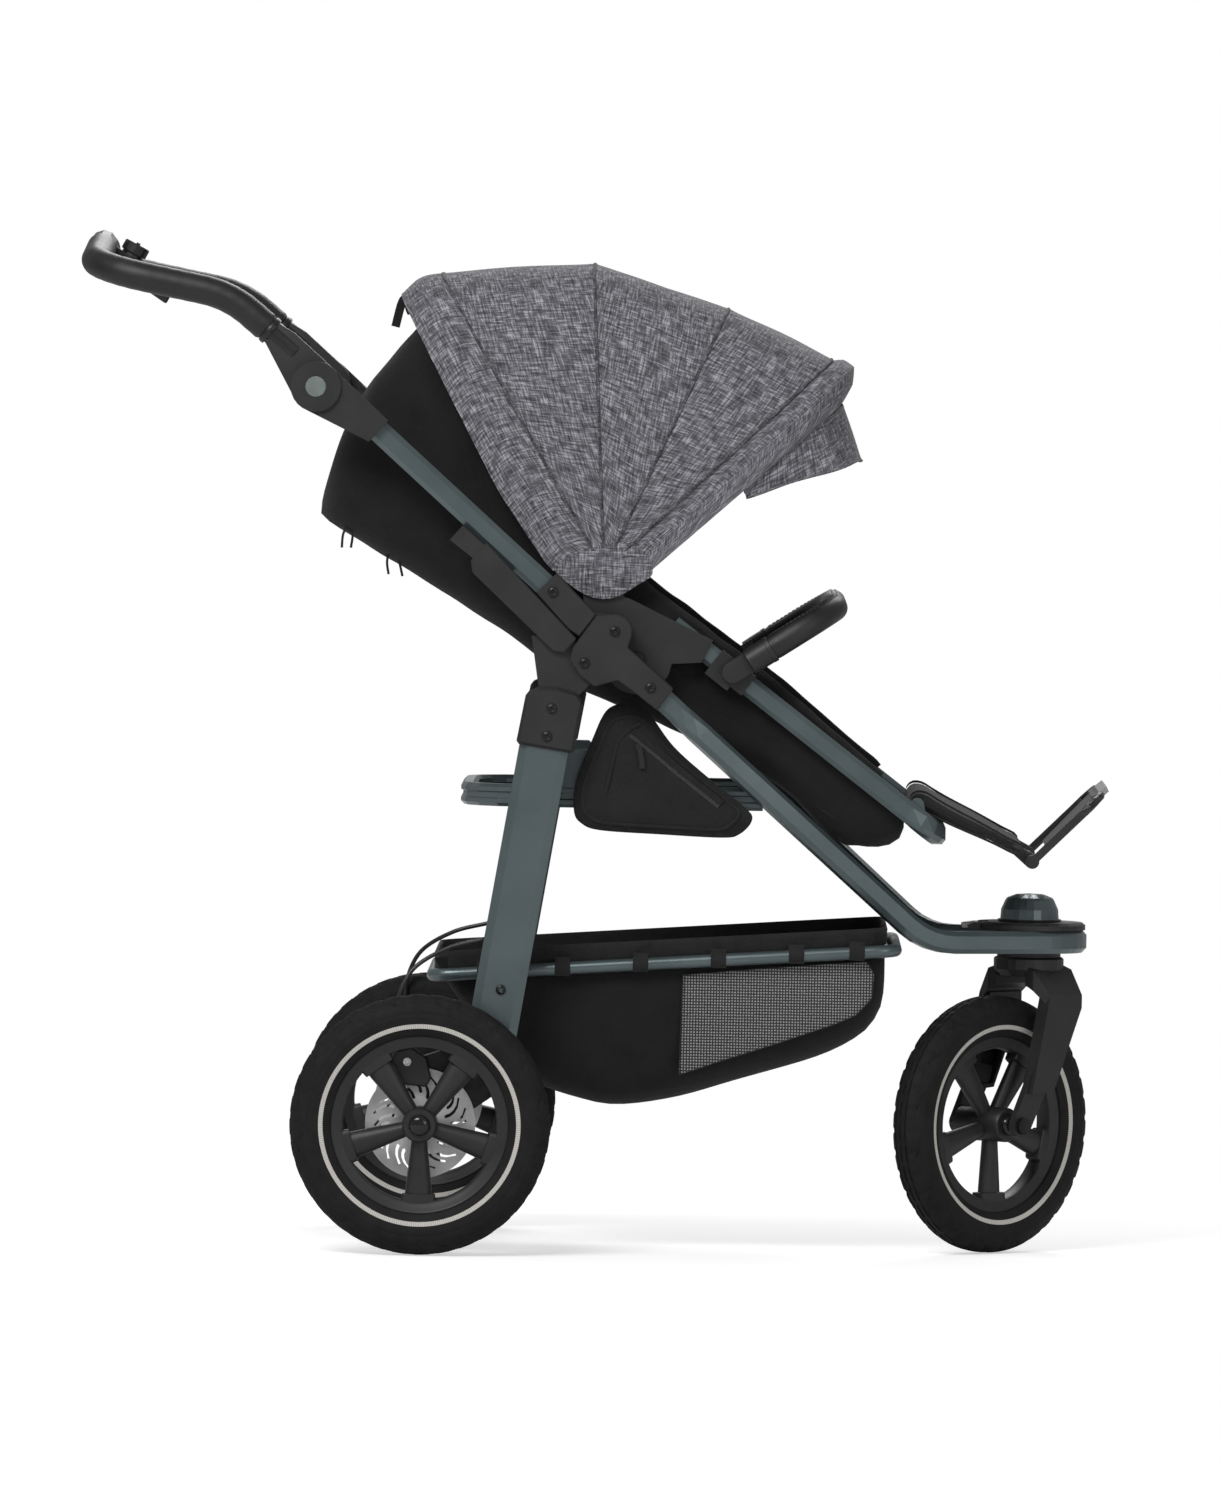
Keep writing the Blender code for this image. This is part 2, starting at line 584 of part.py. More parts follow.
def build_brakes():
    for label, side in SIDES:
        body = [(-0.034, 0.196), (0.006, 0.192), (0.012, 0.202), (0.006, 0.226), (-0.012, 0.238),
                (-0.030, 0.232), (-0.038, 0.214)]
        caliper = make_piece("brake_caliper_" + label, side_plate(
            body, *span(side, CALIPER_INNER, CALIPER_OUTER)), DARK_PLASTIC, REAR)
        soften(caliper, 0.0015)
        cut(caliper, "disc_slot", turned(
            [(0.030, -0.0020), (DISC_RADIUS + 0.002, -0.0020),
             (DISC_RADIUS + 0.002, 0.0020), (0.030, 0.0020)],
            (0.0, side * DISC_Y, TYRE_RADIUS), steps=32))
        join(caliper, "adjuster", rod(
            on_side(side, -0.018, 0.2445, 0.232), on_side(side, -0.024, 0.2445, 0.248), 0.006, 12))
        route = [(-0.0242, 0.2445, 0.2487), (-0.0290, 0.2440, 0.2850), (-0.0130, 0.2360, 0.3250),
                 (0.0250, 0.2270, 0.3500), (0.0680, 0.2240, 0.3620)]
        smooth = smooth_route([Vector(on_side(side, *point)) for point in route], 3)
        make_piece("brake_cable_" + label, sweep(smooth, round_profile(0.0025, 6), upright=(0.0, 1.0, 0.0)),
                   CABLE_BLACK, REAR)


def smooth_route(points, steps):
    """A smooth curve through a route's own points."""
    padded = [points[0] * 2.0 - points[1], *points, points[-1] * 2.0 - points[-2]]
    route = []
    for index in range(1, len(padded) - 2):
        a, b, c, d = padded[index - 1:index + 3]
        for step in range(steps):
            t = step / steps
            route.append(0.5 * (2.0 * b + (c - a) * t + (2.0 * a - 5.0 * b + 4.0 * c - d) * t * t
                                + (3.0 * b - a - 3.0 * c + d) * t ** 3))
    route.append(points[-1])
    return route


# Wheels: tyre, five-spoke rim, and on the rear ones a slotted disc and a cap

def tyre_profile():
    half = TYRE_WIDTH / 2.0
    shoulder = TYRE_RADIUS - 0.008
    middle = (TYRE_RADIUS + BEAD_RADIUS) / 2.0
    outer = TYRE_RADIUS / math.cos(math.pi / WHEEL_FACETS)
    return [(BEAD_RADIUS, -half + 0.010), (middle, -half), (shoulder, -half + 0.005),
            (outer, -TREAD_FLAT / 2.0), (outer, TREAD_FLAT / 2.0), (shoulder, half - 0.005),
            (middle, half), (BEAD_RADIUS, half - 0.010)]


def build_wheel(label, pivot, centre, outward, hub_inner, hub_outer, rear):
    """All of a wheel's pieces; outward is the direction of its outer face along Y."""
    local = not rear
    tyre = turned(tyre_profile(), centre, steps=WHEEL_FACETS)
    make_piece("tyre_" + label, tyre, TYRE_RUBBER, pivot, local)
    seat = BEAD_RADIUS - CLEARANCE
    half = TYRE_WIDTH / 2.0 - 0.012
    rim_profile = [(seat, -half), (seat, half), (0.0900, half), (0.0885, half - 0.004),
                   (0.0885, -half + 0.004), (0.0900, -half)]
    rim_ring = turned(rim_profile, centre, steps=WHEEL_FACETS)
    rim = make_piece("rim_" + label, rim_ring, BLACK_PLASTIC, pivot, local)
    for number in range(SPOKE_COUNT):
        angle = math.radians(-90.0 + 72.0 * number)
        out = Vector((math.cos(angle), 0.0, math.sin(angle)))
        across = Vector((-math.sin(angle), 0.0, math.cos(angle)))
        bm = bmesh.new()
        rings = []
        for radius, width, depth in ((0.0125, 0.015, 0.022), (0.030, 0.024, 0.020), (0.070, 0.031, 0.017),
                                     (0.0905, 0.042, 0.020)):
            ring = []
            for a, d in ((-0.5, -0.5), (0.5, -0.5), (0.5, 0.2), (0.3, 0.5), (-0.3, 0.5), (-0.5, 0.2)):
                ring.append(bm.verts.new(Vector(centre) + out * radius + across * a * width
                                         + Vector((0.0, outward * d * depth, 0.0))))
            rings.append(ring)
        for here, there in zip(rings, rings[1:]):
            for step in range(6):
                after = (step + 1) % 6
                bm.faces.new((here[step], here[after], there[after], there[step]))
        bm.faces.new(rings[0])
        bm.faces.new(list(reversed(rings[-1])))
        join(rim, "spoke_%s_%d" % (label, number), bm, local)
    low, high = sorted((outward * hub_inner, outward * hub_outer))
    join(rim, "hub_" + label, turned(
        [(0.0, low), (HUB_RADIUS, low), (HUB_RADIUS, high - 0.002), (HUB_RADIUS - 0.002, high), (0.0, high)],
        centre, steps=18, closed=False), local)
    cut(rim, "bore_" + label, turned(
        [(0.0, low - 0.01), (AXLE_RADIUS + CLEARANCE, low - 0.01),
         (AXLE_RADIUS + CLEARANCE, high + 0.01), (0.0, high + 0.01)], centre, steps=12, closed=False), local)
    return rim


def build_rear_wheels():
    for label, side in SIDES:
        centre = (0.0, side * REAR_WHEEL_Y, TYRE_RADIUS)
        spin = make_pivot("wheel_spin_" + label, centre, REAR)
        hub_inner = -(REAR_WHEEL_Y - DISC_Y - DISC_THICKNESS / 2.0 - CLEARANCE)
        rim = build_wheel("rear_" + label, spin, centre, side, hub_inner, CAP_SEAT + 0.003, True)
        profile = [(HUB_RADIUS - 0.009, -DISC_THICKNESS / 2.0), (DISC_RADIUS, -DISC_THICKNESS / 2.0),
                   (DISC_RADIUS, DISC_THICKNESS / 2.0), (HUB_RADIUS - 0.009, DISC_THICKNESS / 2.0)]
        disc_centre = Vector((0.0, side * DISC_Y, TYRE_RADIUS))
        disc = make_piece("brake_disc_" + label, turned(profile, disc_centre, steps=32), BRIGHT_STEEL, spin)
        slots = bmesh.new()
        for number in range(DISC_SLOTS):
            angle = 2.0 * math.pi * number / DISC_SLOTS
            add_slot(slots, disc_centre, angle)
        cut(disc, "slots_" + label, slots)
        crown = side * (CAP_SEAT + 0.010)
        join(rim, "hub_cap_" + label, turned(
            [(0.0, crown - side * 0.008), (0.0165, crown - side * 0.008), (0.0160, crown - side * 0.004),
             (0.0125, crown - side * 0.001), (0.0, crown)], centre, steps=16, closed=False))


def add_slot(bm, centre, angle):
    """One swept-back vent slot of a brake disc."""
    out = Vector((math.cos(angle), 0.0, math.sin(angle)))
    lean = Vector((math.cos(angle + 0.9), 0.0, math.sin(angle + 0.9)))
    start = centre + out * 0.031
    end = start + (out * 0.75 + lean * 0.45) * 0.021
    way = (end - start).normalized()
    across = Vector((way.z, 0.0, -way.x)) * 0.0024
    corners = [start - across, start + across, end + across, end - across]
    low = [bm.verts.new(corner - Vector((0.0, 0.004, 0.0))) for corner in corners]
    high = [bm.verts.new(corner + Vector((0.0, 0.004, 0.0))) for corner in corners]
    bm.faces.new(low)
    bm.faces.new(list(reversed(high)))
    for index in range(4):
        after = (index + 1) % 4
        bm.faces.new((low[index], low[after], high[after], high[index]))


# Front wheel and fork, built straight ahead and turned with the caster pivot

def build_fork():
    def drop(bm):
        bm.transform(Matrix.Translation((0.0, 0.0, -FRAME_LEVEL)))
        return bm

    under = FRAME_LEVEL - TUBE_HEIGHT / 2.0 - 0.006 - CLEARANCE
    stem_top = FRAME_LEVEL + TUBE_HEIGHT / 2.0 - 0.005
    crown = turned(
        [(0.0, under - 0.022), (0.034, under - 0.022), (0.041, under - 0.014), (0.041, under - 0.002),
         (0.039, under), (STEM_RADIUS, under), (STEM_RADIUS, stem_top), (0.0, stem_top)],
        (0.0, 0.0, 0.0), "Z", 24, closed=False)
    fork = make_piece("front_fork", drop(crown), BLACK_PLASTIC, FORK, True)
    for label, side in SIDES:
        slope = bmesh.new()
        rings = []
        for y, z_top, z_low, back, front in (
                (0.0240, 0.3340, 0.3120, -0.030, 0.034), (0.0365, 0.3300, 0.3060, -0.030, 0.034),
                (0.0575, 0.3010, 0.2860, -0.022, 0.031)):
            corners = ((back, z_low), (front, z_low), (front, z_top), (back, z_top))
            rings.append([slope.verts.new((x, side * y, z)) for x, z in corners])
        for here, there in zip(rings, rings[1:]):
            for step in range(4):
                after = (step + 1) % 4
                slope.faces.new((here[step], here[after], there[after], there[step]))
        slope.faces.new(rings[0])
        slope.faces.new(list(reversed(rings[-1])))
        join(fork, "shoulder_" + label, drop(slope), True)
        blade = [(-0.022, 0.3010), (0.031, 0.3010), (0.031, 0.2860), (-0.013, 0.1900), (-0.050, 0.1870)]
        join(fork, "blade_" + label, drop(side_plate(blade, *span(side, 0.0400, 0.0575))), True)
        cut(fork, "channel_" + label, drop(side_plate(
            [(-0.017, 0.2800), (0.024, 0.2800), (-0.0155, 0.1945), (-0.0445, 0.1930)],
            *span(side, 0.0360, 0.0520))), True)
        arm = hull(arc_points((-TRAIL, TYRE_RADIUS), 0.0145, 0.0, 360.0, 14) + [
            (-0.0110, 0.2150), (-0.0400, 0.2200), (-0.0160, 0.1980)])
        join(fork, "arm_" + label, drop(side_plate(arm, *span(side, 0.0440, 0.0520))), True)
    hole = rod((-TRAIL, -0.070, TYRE_RADIUS), (-TRAIL, 0.070, TYRE_RADIUS), AXLE_RADIUS + CLEARANCE)
    cut(fork, "axle_hole", drop(hole), True)
    shaft = rod((-TRAIL, -0.0545, TYRE_RADIUS), (-TRAIL, 0.0545, TYRE_RADIUS), AXLE_RADIUS)
    axle = make_piece("front_axle", drop(shaft), BLACK_STEEL, FORK, True)
    for label, side in SIDES:
        head = rod(on_side(side, -TRAIL, 0.0523, TYRE_RADIUS),
                   on_side(side, -TRAIL, 0.0570, TYRE_RADIUS), 0.0100)
        join(axle, "axle_head_" + label, drop(head), True)
    wheel_x = CASTER_X - TRAIL * math.cos(CASTER_ANGLE)
    wheel_y = -TRAIL * math.sin(CASTER_ANGLE)
    spin = make_pivot("wheel_spin_front", (wheel_x, wheel_y, TYRE_RADIUS), FORK, CASTER_ANGLE)
    build_wheel("front", spin, (0.0, 0.0, 0.0), -1.0, -0.0420, 0.0420, False)


# Push frame: two tubes that fold forward on the upper hinge pin

def build_push_frame():
    for label, side in SIDES:
        ends = [Vector((x, side * FRAME_Y, along(UPPER_POINT, UPPER_SLOPE, x)[1]))
                for x in (UPPER_START, UPPER_END)]
        profile = bevelled_profile(TUBE_WIDTH, TUBE_HEIGHT, 0.005, TUBE_BEVEL)
        make_piece("upper_tube_" + label, sweep(ends, profile), FRAME_PAINT, PUSH)
        build_upper_bracket(label, side)
        build_release_slide(label, side)
        build_handle_joint(label, side)


def build_upper_bracket(label, side):
    outline = [(0.1225, 0.7625), (0.1455, 0.7855), (0.1918, 0.7392), (0.1728, 0.7136), (0.1600, 0.7220)]
    bracket = make_piece("upper_bracket_" + label, side_plate(
        outline, *span(side, FRAME_Y - 0.0142, HINGE_FACE)), BLACK_PLASTIC, PUSH)
    soften(bracket, 0.0012)
    tongue = hull(arc_points(FOLD_PIVOT, 0.0190, 0.0, 360.0, 16) + [(0.1840, 0.7420), (0.1700, 0.7210)])
    join(bracket, "tongue", side_plate(tongue, *span(side, SLOT_INNER + CLEARANCE, SLOT_OUTER - CLEARANCE)))
    cut(bracket, "tube_pocket", tube_pocket(UPPER_POINT, UPPER_SLOPE, 0.090, UPPER_END + 0.0005, side))
    cut(bracket, "pin_hole", rod(
        on_side(side, FOLD_PIVOT[0], 0.200, FOLD_PIVOT[1]),
        on_side(side, FOLD_PIVOT[0], 0.260, FOLD_PIVOT[1]), PIN_RADIUS + CLEARANCE))


def build_release_slide(label, side):
    pivot = make_pivot("release_" + label, (0.105, side * HINGE_FACE, 0.755), PUSH)
    face = [(0.0640, 0.8200), (0.0465, 0.7985), (0.0490, 0.7850), (0.1440, 0.6960), (0.1560, 0.6945),
            (0.1700, 0.7110), (0.1215, 0.7610)]
    slide = make_piece("release_slide_" + label, side_plate(
        face, *span(side, SLOT_OUTER + 0.0004, HINGE_FACE + 0.0015)), BLACK_PLASTIC, pivot)
    soften(slide, 0.0012)
    corners = []
    for x, distance in ((0.046, -0.0133), (0.104, -0.0133), (0.104, -0.030), (0.046, -0.036)):
        corners.append(offset_line(UPPER_POINT, UPPER_SLOPE, x, distance))
    join(slide, "guide", side_plate(corners, *span(side, FRAME_Y - 0.009, HINGE_FACE)))


def build_handle_joint(label, side):
    disc = arc_points(HANDLE_PIVOT, HUB_PLATE_RADIUS, 0.0, 360.0, 24)[:-1]
    arm = hull(disc + [offset_line(UPPER_POINT, UPPER_SLOPE, -0.062, d) for d in (-0.0165, 0.0165)])
    joint = make_piece("handle_joint_" + label, side_plate(
        arm, *span(side, SLOT_OUTER + 0.0005, SLOT_OUTER + 0.0085)), BLACK_PLASTIC, PUSH)
    join(joint, "hub_plate", side_plate(disc, *span(side, SLOT_OUTER + 0.0005, HUB_FACE)))
    ends = [Vector((x, side * FRAME_Y, along(UPPER_POINT, UPPER_SLOPE, x)[1])) for x in (-0.104, -0.062)]
    join(joint, "socket", sweep(ends, bevelled_profile(0.0300, 0.0330, 0.005, 0.006)))
    cut(joint, "tube_pocket", tube_pocket(UPPER_POINT, UPPER_SLOPE, UPPER_START - 0.0005, 0.000, side))
    cut(joint, "button_hole", rod(
        on_side(side, HANDLE_PIVOT[0], 0.225, HANDLE_PIVOT[1]),
        on_side(side, HANDLE_PIVOT[0], 0.270, HANDLE_PIVOT[1]), BUTTON_RADIUS + CLEARANCE, 16))
    press = make_pivot("button_" + label, (HANDLE_PIVOT[0], side * HUB_FACE, HANDLE_PIVOT[1]), PUSH)
    drum = rod(on_side(side, HANDLE_PIVOT[0], 0.2402, HANDLE_PIVOT[1]),
               on_side(side, HANDLE_PIVOT[0], HUB_FACE + 0.0010, HANDLE_PIVOT[1]), BUTTON_RADIUS, 16)
    button = make_piece("joint_button_" + label, drum, BUTTON_GREEN, press)
    soften(button, 0.0008)


# Handlebar: a bent tube in two leather grips, with the brake controls in the middle

def bar_path():
    corners = (BAR_START, BAR_BEND, BAR_CORNER)
    right = [(x, -BAR_Y, z) for x, z in corners]
    left = [(x, BAR_Y, z) for x, z in reversed(corners)]
    middle = (BAR_MIDDLE[0], 0.0, BAR_MIDDLE[1])
    return rounded_path([*right, middle, *left], (0.12, 0.062, 0.30, 0.062, 0.12), (3, 5, 2, 5, 3))


def stretch(path, first, last):
    """The part of a path between two lengths along it."""
    part, gone = [], 0.0
    for here, there in zip(path, path[1:]):
        step = (there - here).length
        low, high = max(first, gone), min(last, gone + step)
        if low < high:
            if not part:
                part.append(here.lerp(there, (low - gone) / step))
            part.append(here.lerp(there, (high - gone) / step))
        gone += step
    return part


def sleeve(path, outer, inner, sides=10):
    """A tube with a bore, swept along a path."""
    bm = bmesh.new()
    across = Vector((0.0, 1.0, 0.0))
    loops = []
    for index, point in enumerate(path):
        ahead = (path[min(index + 1, len(path) - 1)] - path[max(index - 1, 0)]).normalized()
        level = Vector((-ahead.y, ahead.x, 0.0))
        if level.length > 0.05:
            across = level.normalized()
        up = ahead.cross(across).normalized()
        loops.append([[bm.verts.new(point + across * a + up * b) for a, b in round_profile(radius, sides)]
                      for radius in (outer, inner)])
    for here, there in zip(loops, loops[1:]):
        for layer in (0, 1):
            for step in range(sides):
                after = (step + 1) % sides
                bm.faces.new((here[layer][step], here[layer][after],
                              there[layer][after], there[layer][step]))
    for end in (loops[0], loops[-1]):
        for step in range(sides):
            after = (step + 1) % sides
            bm.faces.new((end[0][step], end[0][after], end[1][after], end[1][step]))
    return bm


def build_handlebar():
    path = bar_path()
    length = sum((b - a).length for a, b in zip(path, path[1:]))
    tube = make_piece("handlebar_tube", sweep(path, round_profile(BAR_RADIUS)), BLACK_PLASTIC, HANDLE)
    for label, side in SIDES:
        disc = arc_points(HANDLE_PIVOT, HUB_PLATE_RADIUS - 0.0005, 0.0, 360.0, 20)[:-1]
        neck = hull(disc + [(-0.196, 1.0480), (-0.180, 1.0680), (-0.160, 1.0560)])
        join(tube, "knuckle_" + label, side_plate(
            neck, *span(side, SLOT_INNER + 0.0012, SLOT_OUTER + 0.0002)))
    grip_start, housing_half = 0.042, 0.050
    for label, side in SIDES:
        low, high = grip_start, length / 2.0 - housing_half - 0.0003
        part = stretch(path, low, high) if side < 0 else stretch(path, length - high, length - low)
        make_piece("handlebar_grip_" + label, sleeve(part, BAR_RADIUS + GRIP_WALL, BAR_RADIUS + CLEARANCE),
                   GRIP_LEATHER, HANDLE)
    part = stretch(path, length / 2.0 - housing_half, length / 2.0 + housing_half)
    shell = sweep(part, round_profile(BAR_RADIUS + HOUSING_WALL))
    housing = make_piece("control_housing", shell, DARK_PLASTIC, HANDLE)
    tilt = Vector((math.sin(DIAL_TILT), 0.0, math.cos(DIAL_TILT)))
    dial_base = Vector((DIAL_CENTRE[0], 0.0, DIAL_CENTRE[1])) - tilt * 0.0060
    join(housing, "dial_seat", rod(dial_base - tilt * 0.0070, dial_base - tilt * CLEARANCE, 0.0130))
    join(housing, "dial_bridge", side_plate(
        [(-0.3880, 1.1500), (-0.3800, 1.1550), (-0.3640, 1.1440), (-0.3560, 1.1400), (-0.3600, 1.1380),
         (-0.3800, 1.1410)], -0.012, 0.012))
    for y_low, y_high in ((-0.0185, -0.0135), (0.0135, 0.0185)):
        ear = hull([(-0.3950, 1.1500), (-0.3800, 1.1500)] + arc_points(LEVER_PIVOT, 0.0065, 0.0, 360.0, 10))
        join(housing, "lever_ear_%d" % (y_low > 0.0), side_plate(ear, y_low, y_high))
    join(housing, "lever_pin", rod(
        (LEVER_PIVOT[0], -0.0150, LEVER_PIVOT[1]), (LEVER_PIVOT[0], 0.0150, LEVER_PIVOT[1]), 0.0022, 10))
    cut(housing, "bar_bore", sweep(
        stretch(path, length / 2.0 - 0.070, length / 2.0 + 0.070), round_profile(BAR_RADIUS + CLEARANCE)))
    turn = make_pivot("dial_turn", (DIAL_CENTRE[0], 0.0, DIAL_CENTRE[1]), HANDLE)
    knob = rod(dial_base, dial_base + tilt * 0.0120, DIAL_RADIUS, 20)
    dial = make_piece("parking_dial", knob, DARK_PLASTIC, turn)
    soften(dial, 0.0012)
    wing = box((-0.0020, -0.0125, 0.0), (0.0020, 0.0125, 0.0035))
    wing.transform(Matrix.Translation(dial_base + tilt * 0.0105) @ Matrix.Rotation(DIAL_TILT, 4, "Y"))
    join(dial, "finger_bar", wing)
    pull = make_pivot("lever_pull", (LEVER_PIVOT[0], 0.0, LEVER_PIVOT[1]), HANDLE)
    blade = [(-0.3750, 1.1290), (-0.3720, 1.1345), (-0.3630, 1.1345), (-0.3500, 1.1260), (-0.3300, 1.1080),
             (-0.3130, 1.0960), (-0.3180, 1.0870), (-0.3360, 1.0990), (-0.3560, 1.1180), (-0.3720, 1.1240)]
    lever = make_piece("brake_lever", side_plate(blade, -0.0130, 0.0130), DARK_PLASTIC, pull)
    soften(lever, 0.0012)
    cut(lever, "pin_bore", rod(
        (LEVER_PIVOT[0], -0.020, LEVER_PIVOT[1]), (LEVER_PIVOT[0], 0.020, LEVER_PIVOT[1]), 0.0025, 12))


# Seat unit: arms on the hinge stubs, a U-shaped tube, the tub, its pad and straps

def seat_line(x, distance=0.0):
    return offset_line(SEAT_POINT, SEAT_SLOPE, x, distance)


def seat_pocket(side, gap):
    ends = [Vector((x, side * SEAT_Y, along(SEAT_POINT, SEAT_SLOPE, x)[1])) for x in (0.2795, 0.360)]
    return sweep(ends, bevelled_profile(
        SEAT_TUBE_WIDTH + 2.0 * gap, SEAT_TUBE_HEIGHT + 2.0 * gap, 0.004, 0.005))


def build_seat_frame():
    front_z = along(SEAT_POINT, SEAT_SLOPE, SEAT_FRONT)[1]
    start_z = along(SEAT_POINT, SEAT_SLOPE, 0.280)[1]
    points = [(0.280, -SEAT_Y, start_z), (SEAT_FRONT, -SEAT_Y, front_z),
              (SEAT_FRONT, SEAT_Y, front_z), (0.280, SEAT_Y, start_z)]
    path = rounded_path(points, (0.042, 0.042), (4, 4))
    profile = bevelled_profile(SEAT_TUBE_WIDTH, SEAT_TUBE_HEIGHT, 0.004, 0.005)
    tube = make_piece("seat_frame_tube", sweep(path, profile, upright=(0.0, 0.0, 1.0)), FRAME_PAINT, SEAT)
    for label, side in SIDES:
        block = [seat_line(0.330, -0.0140), seat_line(0.3690, -0.0140), seat_line(0.3690, 0.0140),
                 seat_line(0.330, 0.0140)]
        clip = side_plate(block, *span(side, SEAT_Y - 0.0125, SEAT_ARM_OUTER - 0.0002))
        join(tube, "bumper_clip_" + label, clip)
        tab = [seat_line(0.3300, -0.0200), seat_line(0.3560, -0.0200), seat_line(0.3560, -0.0110),
               seat_line(0.3300, -0.0110)]
        tab_span = span(side, SEAT_Y - 0.006, SEAT_ARM_OUTER - 0.0002)
        join(tube, "clip_tab_" + label, side_plate(tab, *tab_span))
        cut(tube, "bumper_bore_" + label, rod(
            on_side(side, BUMPER_PIVOT[0], 0.1955, BUMPER_PIVOT[1]),
            on_side(side, BUMPER_PIVOT[0], 0.2150, BUMPER_PIVOT[1]), PIN_RADIUS + CLEARANCE))
        lug = hull(arc_points(BOARD_PIVOT, 0.0085, 0.0, 360.0, 12) + [(0.5590, 0.5110), (0.5780, 0.4990)])
        join(tube, "board_lug_" + label, side_plate(lug, *span(side, 0.1700, SEAT_Y - 0.0080)))
        cut(tube, "board_bore_" + label, rod(
            on_side(side, BOARD_PIVOT[0], 0.1650, BOARD_PIVOT[1]),
            on_side(side, BOARD_PIVOT[0], 0.1790, BOARD_PIVOT[1]), 0.0043, 12))
        outline = [(0.1740, 0.7740), (0.2310, 0.7570), (0.3270, 0.7110), (0.3140, 0.6850), (0.2795, 0.6830),
                   *arc_points(SEAT_PIVOT, 0.0400, -6.0, -165.0, 9), (0.1800, 0.7350)]
        arm = make_piece("seat_arm_" + label, side_plate(
            outline, *span(side, SEAT_ARM_INNER, SEAT_ARM_OUTER)), BLACK_PLASTIC, SEAT)
        soften(arm, 0.0015)
        cut(arm, "tube_pocket", seat_pocket(side, CLEARANCE))
        cut(arm, "stub_bore", rod(
            on_side(side, SEAT_PIVOT[0], SEAT_STUB_Y - 0.0005, SEAT_PIVOT[1]),
            on_side(side, SEAT_PIVOT[0], 0.220, SEAT_PIVOT[1]), SEAT_STUB_RADIUS + 2.0 * CLEARANCE))
        join(arm, "canopy_hub", rod(
            on_side(side, CANOPY_PIVOT[0], SEAT_ARM_OUTER - 0.006, CANOPY_PIVOT[1]),
            on_side(side, CANOPY_PIVOT[0], CANOPY_OUTER - 0.001, CANOPY_PIVOT[1]), CANOPY_HUB_RADIUS, 20))
        join(arm, "hub_arm", side_plate(
            [(0.1800, 0.7600), (0.2250, 0.7500), (0.2180, 0.7980), (0.1820, 0.7980)],
            *span(side, SEAT_ARM_OUTER - 0.012, SEAT_ARM_OUTER)))


def build_tub():
    outer = [(-0.0300, 1.0600), (-0.0780, 0.9930), (-0.1030, 0.9400), (-0.1275, 0.8510), (-0.1130, 0.8370),
             (-0.0400, 0.7940), (0.0690, 0.7280), (0.1170, 0.6960), (0.1700, 0.6540), (0.2650, 0.6160),
             (0.4000, 0.5490), (0.4730, 0.4830), (0.4950, 0.4790), (0.5300, 0.4880), (0.5460, 0.5120),
             (0.5250, 0.5540), (0.3870, 0.6690), (0.2430, 0.7750), (0.1350, 0.9000), (0.0100, 1.0500)]
    inner = [(0.0600, 1.1600), (-0.0150, 1.0660), (-0.0660, 0.9900), (-0.0910, 0.9370), (-0.1130, 0.8560),
             (-0.0350, 0.8050), (0.0750, 0.7380), (0.1230, 0.7060), (0.1750, 0.6650), (0.2700, 0.6270),
             (0.4050, 0.5600), (0.4780, 0.4960), (0.5000, 0.4920), (0.5220, 0.4980), (0.5320, 0.5130),
             (0.5600, 0.6000), (0.4500, 0.7200)]
    tub = make_piece("seat_tub", side_plate(outer, -TUB_HALF, TUB_HALF), BLACK_FABRIC, SEAT)
    soften(tub, 0.010, 2, 60.0)
    cut(tub, "tub_inside", side_plate(inner, -TUB_HALF + 0.008, TUB_HALF - 0.008))


def build_pad():
    """The liner: a quilted cushion that follows the tub's floor, crowned and drawn in at its seams."""
    spine = [(-0.1040, 0.8515), (-0.0340, 0.8062), (0.0200, 0.7730), (0.0760, 0.7392), (0.1240, 0.7075),
             (0.1755, 0.6668), (0.2250, 0.6470), (0.2710, 0.6285), (0.3400, 0.5942), (0.4060, 0.5615),
             (0.4550, 0.5180), (0.4780, 0.4985)]
    half = TUB_HALF - 0.012
    bm = bmesh.new()
    columns = 12
    top, low = [], []
    for index, (x, z) in enumerate(spine):
        seam = index in (3, 5, 8)
        end = index in (0, len(spine) - 1)
        upper, lower = [], []
        for column in range(columns + 1):
            across = -1.0 + 2.0 * column / columns
            crown = math.sqrt(max(0.0, 1.0 - abs(across) ** 3.0))
            rib = 0.65 + 0.35 * abs(math.sin(math.pi * 1.5 * across))
            thick = 0.004 + (0.022 if not seam else 0.013) * crown * rib
            if end:
                thick = 0.004
            draw = half - (0.004 if seam else 0.0)
            upper.append(bm.verts.new((x + 0.5 * thick, across * draw, z + thick)))
            lower.append(bm.verts.new((x, across * draw, z)))
        top.append(upper)
        low.append(lower)
    for index in range(len(spine) - 1):
        for column in range(columns):
            bm.faces.new((top[index][column], top[index][column + 1],
                          top[index + 1][column + 1], top[index + 1][column]))
            bm.faces.new((low[index][column], low[index + 1][column],
                          low[index + 1][column + 1], low[index][column + 1]))
        for column in (0, columns):
            bm.faces.new((top[index][column], top[index + 1][column],
                          low[index + 1][column], low[index][column]))
    for index in (0, len(spine) - 1):
        for column in range(columns):
            bm.faces.new((top[index][column], low[index][column],
                          low[index][column + 1], top[index][column + 1]))
    make_piece("seat_pad", bm, BLACK_FABRIC, SEAT)


def flat_strap(width):
    return [(-width / 2.0, -0.0015), (width / 2.0, -0.0015), (width / 2.0, 0.0015), (-width / 2.0, 0.0015)]


